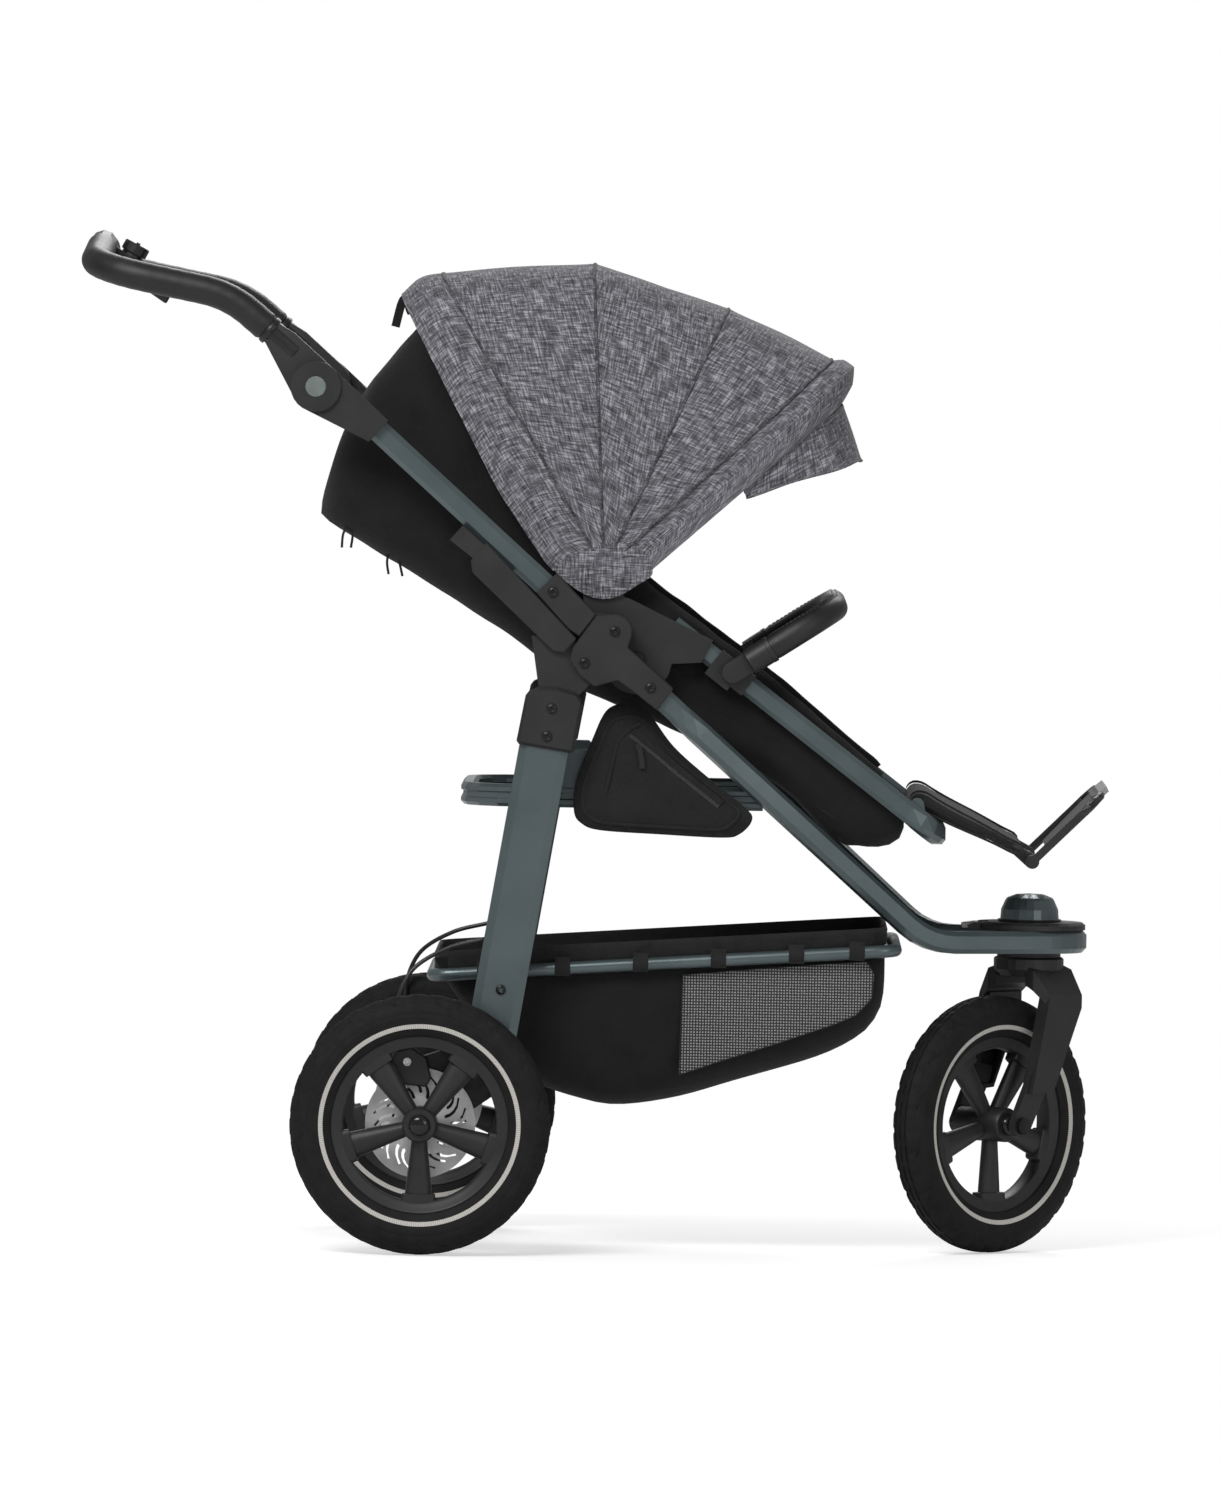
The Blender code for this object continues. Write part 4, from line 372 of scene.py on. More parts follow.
def set_on_places(name, mesh, places, normal, material):
    """Repeat a mesh on places with a node tree, its Z turned to the normal, as one plain object."""
    cloud = bpy.data.meshes.new(name + "_places")
    cloud.from_pydata([tuple(place) for place in places], [], [])
    holder = new_object(name, cloud)
    pattern = new_object(name + "_pattern", mesh, material)
    group = bpy.data.node_groups.new(name + "_tree", "GeometryNodeTree")
    group.interface.new_socket("Geometry", in_out="INPUT", socket_type="NodeSocketGeometry")
    group.interface.new_socket("Geometry", in_out="OUTPUT", socket_type="NodeSocketGeometry")
    incoming = group.nodes.new("NodeGroupInput")
    outgoing = group.nodes.new("NodeGroupOutput")
    info = group.nodes.new("GeometryNodeObjectInfo")
    info.inputs["Object"].default_value = pattern
    turned = group.nodes.new("FunctionNodeAlignEulerToVector")
    turned.axis = "Z"
    turned.inputs["Vector"].default_value = normal
    spread = group.nodes.new("GeometryNodeInstanceOnPoints")
    solid = group.nodes.new("GeometryNodeRealizeInstances")
    paint = group.nodes.new("GeometryNodeSetMaterial")
    paint.inputs["Material"].default_value = material
    for giver, output, taker, socket in (
            (incoming, "Geometry", spread, "Points"), (info, "Geometry", spread, "Instance"),
            (turned, "Rotation", spread, "Rotation"), (spread, "Instances", solid, "Geometry"),
            (solid, "Geometry", paint, "Geometry"), (paint, "Geometry", outgoing, "Geometry")):
        group.links.new(giver.outputs[output], taker.inputs[socket])
    modifier = holder.modifiers.new("repeat", "NODES")
    modifier.node_group = group
    plain = settle(holder)
    plain.shade_smooth()
    plain.set_sharp_from_angle(angle=math.radians(38.0))
    bpy.data.objects.remove(pattern)
    return holder


def own_screws(label, body, spots, reach):
    """Screws on both sides of a body, at (x, z) spots, each seated at its distance from the middle."""
    for side, sign in (("right", -1.0), ("left", 1.0)):
        screws = set_on_places(
            "screws_%s_%s" % (label, side), revolve("screw", screw_profile, 24),
            [at(x, z, sign * y) for (x, z), y in zip(spots, reach)], (0.0, sign, 0.0), blackened)
        keep(screws, body, "black_steel")


own_screws("hinge", "front_frame", ((0.2140, 0.7200), (0.1800, 0.6830), (0.2560, 0.6560)),
           (0.2430, 0.2430, 0.2430))
own_screws("bracket", "push_frame", ((0.1420, 0.7640),), (0.2430,))
own_screws("leg", "rear_frame", ((0.1430, 0.6300), (0.1380, 0.5980), (0.0900, 0.3050), (0.0720, 0.2120)),
           (0.2420, 0.2420, 0.2365, 0.2375))


# Caster.
# The plate under the frame's front loop carries an aluminium cap over the swivel bearing, in the frame's
# enamel, and a pressed steel lever that locks the swivel. A moulded ring closes the cap's foot.

plated, tree, shader = finish("plated_steel", (0.60, 0.60, 0.59), 0.26, 1.0)
brushed = speckle(tree, 260.0, 3.0, (1.0, 1.0, 14.0))
dull(tree, shader, brushed, 0.18, 0.38)
raise_surface(tree, shader, brushed, 0.00003, 0.5)
wear("caster_dome", enamel)
wear("swivel_lock_lever", plated)
caster_x = 0.702
ring = new_object("caster_cap_ring", revolve("caster_cap_ring", [
    (0.0350, 0.3857), (0.0368, 0.3857), (0.0374, 0.3866), (0.0368, 0.3878), (0.0352, 0.3880)], 64, True),
    moulded)
ring.data.transform(Matrix.Translation(at(caster_x, 0.0)))
keep(ring, "front_frame", "black_plastic")


# Wheels.
# Black five-spoke nylon rims with 12-inch air tyres: moulded rubber with a road tread, ribbed sidewalls
# and a woven white reflective line. Slotted steel discs sit inside the rear wheels, glossy caps outside.

rubber, tree, shader = finish("tyre_rubber", (0.017, 0.017, 0.018), 0.74, specular_ior_level=0.30)
place = put(tree, "ShaderNodeUVMap", uv_map="UVMap")
parted = put(tree, "ShaderNodeSeparateXYZ", {"Vector": place.outputs["UV"]})
on_line = ramp(tree, parted.outputs["Y"], (0.134, 0.0), (0.136, 1.0), (0.210, 1.0), (0.212, 0.0))
threads = put(tree, "ShaderNodeTexWave", {"Vector": place.outputs["UV"], "Scale": 90.0, "Distortion": 0.6},
              wave_type="BANDS", bands_direction="X")
woven_white = put(tree, "ShaderNodeMix", {"Factor": threads.outputs["Fac"]}, data_type="RGBA")
woven_white.inputs[6].default_value = (0.46, 0.44, 0.41, 1.0)
woven_white.inputs[7].default_value = (0.66, 0.64, 0.60, 1.0)
black_rubber = ramp(tree, speckle(tree, 55.0, 4.0), (0.30, 0.0050), (0.72, 0.0100))
mixed = put(tree, "ShaderNodeMix", {"Factor": on_line}, data_type="RGBA")
tree.links.new(black_rubber, mixed.inputs[6])
tree.links.new(woven_white.outputs[2], mixed.inputs[7])
tree.links.new(mixed.outputs[2], shader.inputs["Base Color"])
raise_surface(tree, shader, speckle(tree, 1300.0, 3.0), 0.00012, 0.7)

gloss_cap = grained("glossy_cap", (0.010, 0.010, 0.010), 0.14, (300.0, 1.0, 0.00002, 0.3),
                    (70.0, 0.008, 0.013))

disc_steel, tree, shader = finish("brake_disc_steel", (0.60, 0.60, 0.60), 0.34, 0.35)
spot = put(tree, "ShaderNodeTexCoord")
spun = put(tree, "ShaderNodeTexWave", {"Vector": spot.outputs["UV"], "Scale": 160.0, "Distortion": 1.5},
           wave_type="BANDS", bands_direction="Y")
dull(tree, shader, spun.outputs["Fac"], 0.28, 0.44)
tint(tree, shader, speckle(tree, 40.0, 3.0), (0.3, 0.58), (0.7, 0.74))


def tyre_mesh(name):
    """An air tyre about Y, centred on the origin: smooth casing, block tread, side ribs and bead."""
    half = [(0.1020, 0.0140), (0.1030, 0.0163), (0.1062, 0.0182), (0.1095, 0.0200), (0.1108, 0.0205),
            (0.1114, 0.0212), (0.1138, 0.0218), (0.1162, 0.0223), (0.1168, 0.0220), (0.1212, 0.0230),
            (0.1219, 0.0230), (0.1232, 0.0234), (0.1275, 0.0235), (0.1282, 0.0232), (0.1290, 0.0234),
            (0.1330, 0.0228), (0.1372, 0.0213), (0.1378, 0.0206), (0.1388, 0.0203), (0.1420, 0.0184),
            (0.1424, 0.0177), (0.1436, 0.0172), (0.1466, 0.0142)]
    tread = [(0.1486, 0.0108), (0.1492, 0.0090), (0.1478, 0.0084), (0.1478, 0.0066), (0.1496, 0.0060),
             (0.1499, 0.0022), (0.1482, 0.0016)]
    cross = half + tread
    cross += [(r, -w) for r, w in reversed(cross)]
    steps, bead = 288, half[0][0]
    bm = bmesh.new()
    layer = bm.loops.layers.uv.new("UVMap")
    rings = []
    for step in range(steps):
        turn = 2.0 * math.pi * step / steps
        rings.append([])
        for r, w in cross:
            block, wide = r, w
            if r > 0.1395 and abs(w) > 0.0095 and step % 8 > 5:
                block -= 0.0016
            if abs(w) < 0.0062 and r > 0.1490 and (step + 4) % 8 > 5:
                block -= 0.0012
            swept = int(900.0 * max(0.0, r - 0.1300))
            if 0.1325 < r < 0.1470 and (step + swept) % 18 < 2:
                wide -= math.copysign(0.0010, w)
                block -= 0.0004
            if 0.1270 < r < 0.1335 and step % 2:
                wide -= math.copysign(0.0005, w)
            rings[-1].append(bm.verts.new((block * math.sin(turn), wide, block * math.cos(turn))))
    for step in range(steps):
        here, there = rings[step], rings[(step + 1) % steps]
        for index in range(len(cross) - 1):
            face = bm.faces.new((here[index], here[index + 1], there[index + 1], there[index]))
            corners = ((step, index), (step, index + 1), (step + 1, index + 1), (step + 1, index))
            for loop, (u, v) in zip(face.loops, corners):
                loop[layer].uv = (u / steps, (cross[v][0] - bead) / 0.0680)
        inner = bm.faces.new((here[0], there[0], there[-1], here[-1]))
        for loop in inner.loops:
            loop[layer].uv = (0.0, -1.0)
    return finished(bm, name, 35.0)


def skin(bm, rings):
    """Faces between neighbouring closed rings, and a cap at each end."""
    for here, there in zip(rings, rings[1:]):
        for step in range(len(here)):
            after = (step + 1) % len(here)
            bm.faces.new((here[step], here[after], there[after], there[step]))
    bm.faces.new(rings[0])
    bm.faces.new(rings[-1][::-1])


def spoke_grid(bm, sections, turn):
    """A spoke through (radius, width, depth, squareness) sections, turned about the wheel's axle."""
    rings, segments = [], 20
    for radius, width, depth, square in sections:
        ring = []
        for step in range(segments):
            a = 2.0 * math.pi * step / segments
            c, d = math.cos(a), math.sin(a)
            u = math.copysign(abs(c) ** square, c) * width / 2.0
            v = math.copysign(abs(d) ** square, d) * depth / 2.0
            ring.append(bm.verts.new((radius * math.cos(turn) - u * math.sin(turn), v,
                                      radius * math.sin(turn) + u * math.cos(turn))))
        rings.append(ring)
    skin(bm, rings)


def rim_mesh(name, outward, hub_in, hub_out):
    """Five-spoke rim about Y: outer ring with lips, tube-like spokes in square sockets, and a hub."""
    bm = bmesh.new()
    for number in range(5):
        turn = math.radians(-90.0 + 72.0 * number)
        spoke_grid(bm, [(0.0150, 0.0175, 0.0190, 1.0), (0.0300, 0.0205, 0.0195, 1.0),
                        (0.0500, 0.0250, 0.0195, 1.0), (0.0700, 0.0295, 0.0190, 1.0),
                        (0.0830, 0.0318, 0.0190, 1.0)], turn)
        spoke_grid(bm, [(0.0795, 0.0365, 0.0200, 0.34), (0.0800, 0.0382, 0.0215, 0.34),
                        (0.0868, 0.0400, 0.0218, 0.34), (0.0905, 0.0412, 0.0218, 0.34)], turn)
    spokes = finished(bm, name)
    ring = revolve(name + "_ring", [
        (0.0895, -0.0105), (0.0885, -0.0088), (0.0882, 0.0), (0.0885, 0.0088), (0.0895, 0.0105),
        (0.0930, 0.0112), (0.0945, 0.0122), (0.0990, 0.0128), (0.1010, 0.0138), (0.1022, 0.0136),
        (0.1022, -0.0136), (0.1010, -0.0138), (0.0990, -0.0128), (0.0945, -0.0122), (0.0930, -0.0112)],
        96, True)
    low, high = sorted((outward * hub_in, outward * hub_out))
    hub = revolve(name + "_hub", [
        (0.0065, low), (0.0178, low), (0.0188, low + 0.0010), (0.0200, low + 0.0030), (0.0204, high - 0.0040),
        (0.0200, high - 0.0016), (0.0188, high - 0.0004), (0.0170, high), (0.0136, high - 0.0003),
        (0.0131, high - 0.0012), (0.0065, high - 0.0012)], 48, True)
    turn_to_y = Matrix.Rotation(math.radians(-90.0), 4, "X")
    bm = bmesh.new()
    bm.from_mesh(spokes)
    for part in (ring, hub):
        part.transform(turn_to_y)
        bm.from_mesh(part)
    return finished(bm, name, 34.0, False)


def lay_uv(bm, rule):
    """A UV for every corner of a drawn mesh, by a rule from its place."""
    layer = bm.loops.layers.uv.new("UVMap")
    for face in bm.faces:
        for loop in face.loops:
            loop[layer].uv = rule(loop.vert.co)


def disc_mesh(name):
    """A brake disc about Y with swept vent slots in two lengths."""
    half_slot, rounding, thickness = 0.0019, 0.0017, 0.0018
    bm = bmesh.new()

    def loop_of(points):
        ring = [bm.verts.new((x, 0.0, z)) for x, z in points]
        return [bm.edges.new((a, b)) for a, b in zip(ring, ring[1:] + ring[:1])]

    edges = []
    for radius, count in ((0.0636, 120), (0.0190, 48)):
        turns = [math.tau * i / count for i in range(count)]
        edges += loop_of([(radius * math.cos(a), radius * math.sin(a)) for a in turns])
    for number in range(24):
        turn = math.tau * number / 24
        near, far = (0.0300, 0.0520) if number % 2 else (0.0360, 0.0540)
        middle = [(near + (far - near) * t, turn + 0.32 * t * t) for t in (0.0, 0.25, 0.5, 0.75, 1.0)]
        left, right = [], []
        for r, a in middle:
            half = half_slot / r
            left.append((r * math.cos(a - half), r * math.sin(a - half)))
            right.append((r * math.cos(a + half), r * math.sin(a + half)))
        (foot, foot_turn), (tip, tip_turn) = middle[0], middle[-1]
        far_end = ((tip + rounding) * math.cos(tip_turn), (tip + rounding) * math.sin(tip_turn))
        near_end = ((foot - rounding) * math.cos(foot_turn), (foot - rounding) * math.sin(foot_turn))
        edges += loop_of(left + [far_end] + right[::-1] + [near_end])
    bmesh.ops.triangle_fill(bm, edges=edges, use_beauty=True, normal=(0.0, 1.0, 0.0))
    raised = bmesh.ops.extrude_face_region(bm, geom=list(bm.faces))
    for item in raised["geom"]:
        if isinstance(item, bmesh.types.BMVert):
            item.co.y += thickness
    bmesh.ops.translate(bm, verts=bm.verts, vec=(0.0, -thickness / 2.0, 0.0))
    bmesh.ops.recalc_face_normals(bm, faces=bm.faces)
    lay_uv(bm, lambda place: (math.atan2(place.z, place.x) / math.tau, math.hypot(place.x, place.z)))
    mesh = bpy.data.meshes.new(name)
    bm.to_mesh(mesh)
    bm.free()
    return mesh


def along_y(sign):
    """The turn that lays a piece drawn up Z along Y."""
    return Matrix.Rotation(math.radians(-90.0 * sign), 4, "X")


def fit_wheel(label, body, centre, turn, outward, hub_in, hub_out):
    """Tyre, rim and hub cap of one wheel, its hub between two distances along its axle."""
    where = Matrix.Translation(centre) @ Matrix.Rotation(turn, 4, "Z")
    tyre = new_object("tyre_" + label + "_rubber", tyre_mesh("tyre_" + label), rubber)
    rim = new_object("rim_" + label + "_moulded", rim_mesh("rim_" + label, outward, hub_in, hub_out), moulded)
    cap = new_object("hub_cap_" + label, revolve("hub_cap_" + label, [
        (0.0, 0.0100), (0.0040, 0.0098), (0.0080, 0.0088), (0.0108, 0.0070), (0.0122, 0.0042), (0.0126, 0.0),
        (0.0126, -0.0030), (0.0, -0.0030)], 40), gloss_cap)
    cap.data.transform(Matrix.Translation((0.0, outward * (hub_out - 0.0012), 0.0)) @ along_y(outward))
    for made, slot in ((tyre, "tyre_rubber"), (rim, "black_plastic"), (cap, "dark_plastic")):
        made.data.transform(where)
        keep(made, body, slot)
    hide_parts("tyre_" + label)
    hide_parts("rim_" + label)


axle_z, rear_wheel_y, disc_y = 0.150, 0.272, 0.2425
trail, fork_turn = 0.06, math.radians(45.0)
for side, sign in (("right", -1.0), ("left", 1.0)):
    fit_wheel("rear_" + side, "rear_wheel_" + side, at(0.0, axle_z, sign * rear_wheel_y), 0.0, sign,
              -0.0283, 0.0200)
    disc = new_object("brake_disc_%s_slotted" % side, disc_mesh("brake_disc_" + side), disc_steel)
    disc.data.transform(Matrix.Translation(at(0.0, axle_z, sign * disc_y)))
    keep(disc, "rear_wheel_" + side, "bright_steel", "brake_disc_" + side)
fit_wheel("front", "front_wheel",
          at(caster_x - trail * math.cos(fork_turn), axle_z, -trail * math.sin(fork_turn)),
          fork_turn, -1.0, -0.0420, 0.0300)


# Brakes.
# Each calliper is bolted to the axle beam and grips its disc; a chromed clamp screw and an adjuster stand
# on it. The black cables run up from the callipers and into the frame tubes.

cable_sheath = grained("cable_sheath", (0.010, 0.010, 0.010), 0.30, (800.0, 2.0, 0.00004, 0.4),
                       (120.0, 0.008, 0.014))


def through(points, steps):
    """A smooth route through the given points."""
    padded = [points[0] * 2.0 - points[1], *points, points[-1] * 2.0 - points[-2]]
    route = []
    for index in range(1, len(padded) - 2):
        a, b, c, d = padded[index - 1:index + 3]
        for step in range(steps):
            t = step / steps
            route.append(0.5 * (2.0 * b + (c - a) * t + (2.0 * a - 5.0 * b + 4.0 * c - d) * t * t
                                + (3.0 * b - a - 3.0 * c + d) * t ** 3))
    return route + [points[-1]]


def gone_along(points):
    """The length gone at each point of a polyline."""
    gone = [0.0]
    for a, b in zip(points, points[1:]):
        gone.append(gone[-1] + (b - a).length)
    return gone


def heading(route, index):
    """The direction of a route at one of its points."""
    return (route[min(index + 1, len(route) - 1)] - route[max(index - 1, 0)]).normalized()


def loft_along(name, route, section, upright):
    """A section of (sideways, up) points, fixed or given by (index, share), swept along; UV in metres."""
    def outline_at(index, share):
        return section(index, share) if callable(section) else section

    bm = bmesh.new()
    layer = bm.loops.layers.uv.new("UVMap")
    rings, lengths = [], gone_along(route)
    sideways = None
    for index, point in enumerate(route):
        ahead = heading(route, index)
        if sideways is None:
            sideways = ahead.cross(upright).normalized()
        else:
            sideways = (sideways - ahead * sideways.dot(ahead)).normalized()
        over = sideways.cross(ahead).normalized()
        ring = outline_at(index, index / (len(route) - 1))
        rings.append([bm.verts.new(point + sideways * a + over * b) for a, b in ring])
    outline = [Vector(place) for place in outline_at(0, 0.0)]
    around = gone_along(outline + outline[:1])
    for row in range(len(rings) - 1):
        here, there = rings[row], rings[row + 1]
        for step in range(len(outline)):
            after = (step + 1) % len(outline)
            face = bm.faces.new((here[step], here[after], there[after], there[step]))
            spots = ((row, step), (row, step + 1), (row + 1, step + 1), (row + 1, step))
            for loop, (r, c) in zip(face.loops, spots):
                loop[layer].uv = (lengths[r], around[c])
    bm.faces.new(rings[0])
    bm.faces.new(rings[-1][::-1])
    return finished(bm, name, 40.0)


def ring_of(radius, sides, high=None):
    """A circle of (sideways, up) points, or an ellipse with its own height."""
    turns = [math.tau * i / sides for i in range(sides)]
    return [(radius * math.cos(a), (high or radius) * math.sin(a)) for a in turns]


def sweep(name, route, section, material, body, slot, *nodes, upright=Vector((0.0, 0.0, 1.0))):
    """A swept piece, hung on its body."""
    return keep(new_object(name, loft_along(name, route, section, upright), material), body, slot, *nodes)


level_y, level_minus_y = Vector((0.0, 1.0, 0.0)), Vector((0.0, -1.0, 0.0))
for side, sign in (("right", -1.0), ("left", 1.0)):
    route = through([at(x, z, sign * y) for x, y, z in (
        (-0.0242, 0.2445, 0.2487), (-0.0290, 0.2440, 0.2850), (-0.0130, 0.2360, 0.3250),
        (0.0250, 0.2270, 0.3500), (0.0680, 0.2240, 0.3620))], 16)
    cable = sweep("brake_cable_%s_sheath" % side, route, ring_of(0.0025, 16), cable_sheath,
                  "rear_frame", "cable_black", "brake_cable_" + side, upright=level_y)
    clamp = new_object("cable_clamp_" + side, revolve("cable_clamp_" + side, [
        (0.0, 0.0016), (0.0026, 0.0016), (0.0032, 0.0030), (0.0046, 0.0030), (0.0052, 0.0022),
        (0.0052, -0.0020), (0.0, -0.0020)], 24), plated)
    clamp.data.transform(Matrix.Translation(at(-0.0160, 0.2210, sign * 0.2543)) @ along_y(sign))
    keep(clamp, "rear_frame", "bright_steel")


# Basket.
# Coated black polyester, cut as one long gusset and two sides, lined and hemmed, hung inside a steel rail
# by stitched loops. A grey mesh window is let into the front half of each side.

def woven(name, dark, light, pitch, sheen, roughness=0.85, thread=0.35, blotch=24.0):
    """Cloth on a UV in metres: crossing threads of two shades, uneven dye, raised weave and a soft sheen."""
    made, tree, shader = finish(name, light, roughness, specular_ior_level=0.22, sheen_weight=sheen,
                                sheen_roughness=0.55)
    place = put(tree, "ShaderNodeUVMap", uv_map="UVMap")
    wobble = put(tree, "ShaderNodeTexNoise", {"Vector": place.outputs["UV"], "Scale": 320.0, "Detail": 2.0})
    threads = []
    for way in ("X", "Y"):
        wave = put(tree, "ShaderNodeTexWave", {"Vector": place.outputs["UV"], "Scale": 0.314 / pitch,
                                               "Distortion": 1.2, "Detail": 1.0, "Detail Scale": 2.0},
                   wave_type="BANDS", bands_direction=way)
        threads.append(wave.outputs["Fac"])
    crossed = put(tree, "ShaderNodeMath", {0: threads[0], 1: threads[1]}, operation="MULTIPLY")
    uneven = put(tree, "ShaderNodeMath", {0: wobble.outputs["Fac"], 1: 0.55}, operation="MULTIPLY")
    amount = put(tree, "ShaderNodeMath", {0: crossed.outputs[0], 1: thread}, operation="MULTIPLY")
    amount = put(tree, "ShaderNodeMath", {0: amount.outputs[0], 1: uneven.outputs[0]}, operation="ADD")
    dye = speckle(tree, blotch, 4.0)
    amount = put(tree, "ShaderNodeMath", {0: amount.outputs[0], 1: dye}, operation="ADD")
    tint(tree, shader, amount.outputs[0], (0.42, dark), (1.0, light))
    creases = raise_surface(tree, shader, speckle(tree, 9.0, 3.0), 0.0035, 0.35)
    raise_again(tree, shader, creases, crossed.outputs[0], pitch * 0.25, 0.8)
    return made


black_cloth = woven("black_polyester", (0.0050, 0.0050, 0.0052), (0.0125, 0.0125, 0.0130), 0.0007, 0.06)
webbing = woven("black_webbing", (0.0060, 0.0060, 0.0062), (0.0180, 0.0180, 0.0186), 0.0011, 0.08,
                0.78, 0.6, 60.0)


def stations(chain, count, steps):
    """Even places along a polyline: the piece each one lies on and its share of that piece."""
    gone = gone_along(chain)
    found, piece = [], 0
    for number in range(count):
        want = gone[-1] * number / steps
        while piece < len(chain) - 2 and gone[piece + 1] < want:
            piece += 1
        length = gone[piece + 1] - gone[piece]
        found.append((piece, min(1.0, (want - gone[piece]) / length) if length else 0.0))
    return found


def resample(points, count, closed=False):
    """Points spread evenly along a polyline."""
    chain = list(points) + ([points[0]] if closed else [])
    steps = count if closed else count - 1
    return [chain[piece].lerp(chain[piece + 1], share) for piece, share in stations(chain, count, steps)]


def shell(name, grid, wall, material, flip=False):
    """A grid of points as cloth with real thickness and a UV in metres along its rows and columns."""
    bm = bmesh.new()
    layer = bm.loops.layers.uv.new("UVMap")
    verts = [[bm.verts.new(point) for point in row] for row in grid]
    columns = len(grid[0])
    middle = columns // 2
    down, side = [[0.0] * columns], []
    for here, there in zip(grid, grid[1:]):
        down.append([gone + (b - a).length for gone, a, b in zip(down[-1], here, there)])
    half_way = down[len(grid) // 2]
    down = [[gone - start for gone, start in zip(row, half_way)] for row in down]
    for row in grid:
        gone = gone_along(row)
        side.append([value - gone[middle] for value in gone])
    for r in range(len(grid) - 1):
        for c in range(columns - 1):
            face = bm.faces.new((verts[r][c], verts[r][c + 1], verts[r + 1][c + 1], verts[r + 1][c]))
            for loop, (i, j) in zip(face.loops, ((r, c), (r, c + 1), (r + 1, c + 1), (r + 1, c))):
                loop[layer].uv = (side[i][j], down[i][j])
    if flip:
        bmesh.ops.reverse_faces(bm, faces=bm.faces)
    made = new_object(name, finished(bm, name, outwards=False), material)
    thick = made.modifiers.new("wall", "SOLIDIFY")
    thick.thickness = wall
    thick.offset = -1.0
    solid = settle(made)
    solid.shade_smooth()
    solid.set_sharp_from_angle(angle=math.radians(50.0))
    return made


def trough(pairs, half_width, rows, columns, power):
    """Squarish U sections hung from (rim, floor) pairs of places; a higher power squares the corners more."""
    grid = []
    for rim, low in resample_pairs(pairs, rows):
        row = []
        for step in range(61):
            a = -1.0 + step / 30.0
            lift = 1.0 - abs(a) ** 1.6
            y = math.copysign(half_width * (1.0 - lift ** power) ** (1.0 / power), a) if lift < 1.0 else 0.0
            place = rim.lerp(low, lift)
            row.append(Vector((place.x, y, place.z)))
        grid.append(resample(row, columns))
    return grid


def resample_pairs(pairs, count):
    """Rim and floor places spread evenly by the floor's length, smoothed through the given ones."""
    floors = through([at(*low) for rim, low in pairs], 12)
    tops = through([at(*rim) for rim, low in pairs], 12)
    return [(tops[piece].lerp(tops[piece + 1], share), floors[piece].lerp(floors[piece + 1], share))
            for piece, share in stations(floors, count, count - 1)]


def hem_z(x):
    """The height of the basket's hem, which rises towards the front with the rail."""
    return 0.3372 + (x - 0.012) * 0.0712


def rail_z(x):
    """The height of the rail's middle, which rises towards the front."""
    return 0.3172 + (x - 0.010) * 0.0711


basket_floor = ((0.0125, (0.0120, 0.3340)), (0.0400, (0.0300, 0.3000)), (0.0950, (0.0620, 0.2560)),
                (0.1250, (0.0950, 0.2150)), (0.1550, (0.1300, 0.1900)), (0.1900, (0.1780, 0.1740)),
                (0.2350, (0.2250, 0.1665)), (0.3000, (0.2930, 0.1765)), (0.3700, (0.3660, 0.1985)),
                (0.4500, (0.4580, 0.2275)), (0.4900, (0.5050, 0.2525)), (0.5080, (0.5250, 0.2765)),
                (0.5200, (0.5325, 0.3060)), (0.5310, (0.5325, 0.3680)))
basket_pairs = [((x, hem_z(x)), low) for x, low in basket_floor]
basket = shell("basket_cloth", trough(basket_pairs, 0.1630, 44, 45, 6.0), 0.0022, black_cloth)
keep(basket, "front_frame", "black_fabric", "basket_fabric")


def corner_loop(x_low, x_high, half, height, radius, count):
    """An even closed route round a rounded rectangle whose height follows x."""
    route = []
    for cx, cy, start in ((x_high - radius, half - radius, 0.0), (x_low + radius, half - radius, 90.0),
                          (x_low + radius, -half + radius, 180.0), (x_high - radius, -half + radius, 270.0)):
        for step in range(9):
            a = math.radians(start + 90.0 * step / 8)
            x = cx + radius * math.cos(a)
            route.append(at(x, height(x), cy + radius * math.sin(a)))
    return resample(route, count, True)


def closed_loft(name, route, profile, material):
    """A closed ring of a fixed (outward, up) profile along a level closed route."""
    bm = bmesh.new()
    layer = bm.loops.layers.uv.new("UVMap")
    middle = sum(route, Vector()) / len(route)
    rings = []
    for index, point in enumerate(route):
        ahead = (route[(index + 1) % len(route)] - route[index - 1]).normalized()
        out = ahead.cross(Vector((0.0, 0.0, 1.0))).normalized()
        if out.dot(point - middle) < 0.0:
            out.negate()
        rings.append([bm.verts.new(point + out * a + Vector((0.0, 0.0, b))) for a, b in profile])
    for index in range(len(rings)):
        here, there = rings[index], rings[(index + 1) % len(rings)]
        for step in range(len(profile)):
            after = (step + 1) % len(profile)
            face = bm.faces.new((here[step], here[after], there[after], there[step]))
            for loop, (i, j) in zip(face.loops, ((0, 0), (0, 1), (1, 1), (1, 0))):
                loop[layer].uv = ((index + i) * 0.006, (step + j) * 0.004)
    return new_object(name, finished(bm, name, 45.0), material)


hem = closed_loft("basket_hem", corner_loop(0.0125, 0.5335, 0.1634, lambda x: hem_z(x) - 0.004, 0.022, 220), [
    (0.0004, -0.0090), (0.0010, -0.0040), (0.0011, 0.0040), (0.0016, 0.0085), (0.0, 0.0110),
    (-0.0022, 0.0110), (-0.0034, 0.0085), (-0.0030, 0.0040), (-0.0030, -0.0040), (-0.0026, -0.0090)], webbing)
keep(hem, "front_frame", "black_fabric")
rail_y = 0.1720
rail = closed_loft("basket_rail_steel", corner_loop(0.0100, 0.5445, rail_y, rail_z, 0.020, 200),
                   ring_of(0.0075, 20), enamel)
keep(rail, "front_frame", "frame_paint", "basket_rail")

